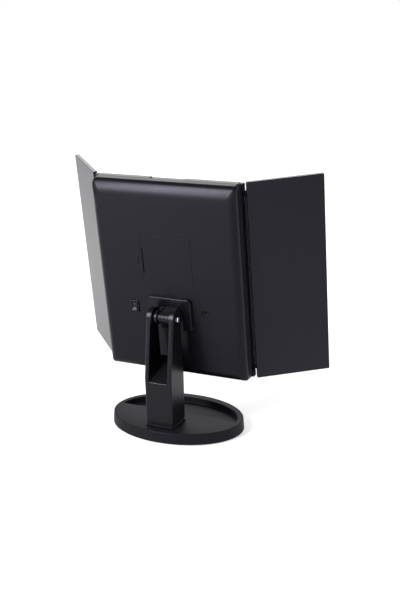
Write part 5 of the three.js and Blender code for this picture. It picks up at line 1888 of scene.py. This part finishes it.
@dataclass
class Studio:
    """Camera, lamps, floor and background, in metres."""

    eye: Triple = (-0.53777, 1.05784, 0.52865)
    look: Triple = (0.411, -0.8621, -0.2965)
    roll: float = -1.22
    lens: float = 62.115
    aim: Triple = (0.0, 0.0, 0.16)
    floor_size: float = 6.0
    paper: float = 0.86
    sky: float = 0.42

    def camera(self) -> None:
        """Sets the camera at the photograph's angle."""
        look = Vector(self.look).normalized()
        right = look.cross(Vector((0, 0, 1))).normalized()
        up = right.cross(look)
        turn = math.radians(self.roll)
        across = right * math.cos(turn) + up * math.sin(turn)
        rise = up * math.cos(turn) - right * math.sin(turn)
        data = bpy.data.cameras.new("photo_camera")
        data.sensor_width, data.lens = 36.0, self.lens
        data.clip_start, data.clip_end = 0.05, 50.0
        seen = bpy.data.objects.new("photo_camera", data)
        seen.matrix_world = Matrix.Translation(self.eye) @ Matrix(
            (across, rise, -look)).transposed().to_4x4()
        bpy.context.scene.collection.objects.link(seen)
        bpy.context.scene.camera = seen

    def lamp(self, name: str, place: Triple, size: Point, power: float) -> None:
        """A soft box that looks at the middle of the object.

        Args:
            name: Name of the lamp.
            place: Where it hangs.
            size: Its width and height.
            power: Watts.
        """
        data = bpy.data.lights.new(name, "AREA")
        data.shape, data.size, data.size_y, data.energy = "RECTANGLE", size[0], size[1], power
        hung = bpy.data.objects.new(name, data)
        hung.location = place
        hung.rotation_mode = "QUATERNION"
        hung.rotation_quaternion = (Vector(self.aim) - Vector(place)).to_track_quat("-Z", "Y")
        bpy.context.scene.collection.objects.link(hung)

    def seen(self, nodes: Nodes) -> tuple[bpy.types.NodeSocket, bpy.types.NodeSocket]:
        """Tells what looks at a surface.

        Args:
            nodes: The nodes of its material or of the world.

        Returns:
            1 for the camera and for glass, and 1 for gloss.
        """
        path = nodes.add("ShaderNodeLightPath").outputs
        direct = nodes.math("MAXIMUM", path["Is Camera Ray"], path["Is Transmission Ray"])
        return direct, path["Is Glossy Ray"]

    def floor(self) -> None:
        """A pale floor that keeps the object's shadow.

        It is white to the camera and to glass. To gloss it is white in front of the object,
        where the mirrors look, and plain paper behind it.
        """
        half = self.floor_size / 2
        mesh = bpy.data.meshes.new("studio_floor")
        mesh.from_pydata([(-half, -half, 0), (half, -half, 0), (half, half, 0), (-half, half, 0)],
                         [], [(0, 1, 2, 3)])
        plane = bpy.data.objects.new("studio_floor", mesh)
        bpy.context.scene.collection.objects.link(plane)
        made = bpy.data.materials.new("studio_paper")
        made.use_nodes = True
        made.node_tree.nodes.clear()
        nodes = Nodes(made.node_tree)
        direct, gloss = self.seen(nodes)
        place = nodes.add("ShaderNodeTexCoord").outputs["Object"]
        away = nodes.add("ShaderNodeVectorMath", {0: place}, operation="LENGTH").outputs["Value"]
        back = nodes.add("ShaderNodeSeparateXYZ", {0: place}).outputs["Y"]
        shown = nodes.math("MULTIPLY", direct, nodes.span(away, 0.08, 0.5, 0.46, 0.8))
        glint = nodes.math("MULTIPLY", gloss, nodes.span(back, -0.4, 0.15, 0.82, 0.0))
        paper = nodes.add("ShaderNodeBsdfDiffuse", {"Color": (self.paper, self.paper, self.paper, 1.0)})
        glow = nodes.add("ShaderNodeEmission", {"Strength": nodes.math("ADD", shown, glint)})
        total = nodes.add("ShaderNodeAddShader", {0: paper.outputs[0], 1: glow.outputs[0]})
        nodes.add("ShaderNodeOutputMaterial", {"Surface": total.outputs[0]})
        mesh.materials.append(made)

    def world(self) -> None:
        """White background for camera, glass and level gloss, and a softer sky for the rest."""
        world = bpy.data.worlds.new("studio_world")
        world.use_nodes = True
        world.node_tree.nodes.clear()
        nodes = Nodes(world.node_tree)
        direct, gloss = self.seen(nodes)
        way = nodes.add("ShaderNodeTexCoord").outputs["Generated"]
        height = nodes.add("ShaderNodeSeparateXYZ", {0: way}).outputs["Z"]
        extra = nodes.span(height, 0.32, 0.75, 1.0 - self.sky, 0.22 - self.sky)
        plain = nodes.math("MULTIPLY_ADD", direct, 1.0 - self.sky, self.sky)
        strength = nodes.math("MULTIPLY_ADD", gloss, extra, plain)
        back = nodes.add("ShaderNodeBackground", {"Color": (1.0, 1.0, 1.0, 1.0), "Strength": strength})
        nodes.add("ShaderNodeOutputWorld", {"Surface": back.outputs[0]})
        bpy.context.scene.world = world

    def build(self) -> None:
        """Makes the whole studio."""
        self.camera()
        self.floor()
        self.world()
        self.lamp("rear_box", place=(0.65, 1.19, 0.93), size=(0.26, 1.05), power=26.0)
        self.lamp("side_box", place=(-1.15, -0.15, 0.72), size=(0.4, 0.5), power=2.5)
        self.lamp("front_box", place=(0.62, -1.12, 1.0), size=(0.8, 0.5), power=4.0)
        bpy.context.scene.view_settings.view_transform = "Standard"


def main() -> None:
    """Builds and dresses every sub-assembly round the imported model."""
    logging.basicConfig(level=logging.INFO, format="%(name)s: %(message)s")
    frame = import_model()
    Studio().build()
    casing = Casing()
    assemblies: list[Assembly] = [
        OvalBase(), ForkColumn(), TiltHinge(), casing, BatteryBay(casing), RockerSwitch(casing),
        PowerSocket(casing), Wing(casing, side=1, angle=44.8, magnifies=False),
        Wing(casing, side=-1, angle=33.3, magnifies=True)]
    for assembly in assemblies:
        assembly.build()
        assembly.dress(frame["nodes"])
        for piece, coat in assembly.made:
            LOG.info("%s: %s, %d faces, %s", type(assembly).__name__, piece.name,
                     len(piece.data.polygons), coat.value.name)
    bpy.context.view_layer.update()


if __name__ == "__main__":
    main()
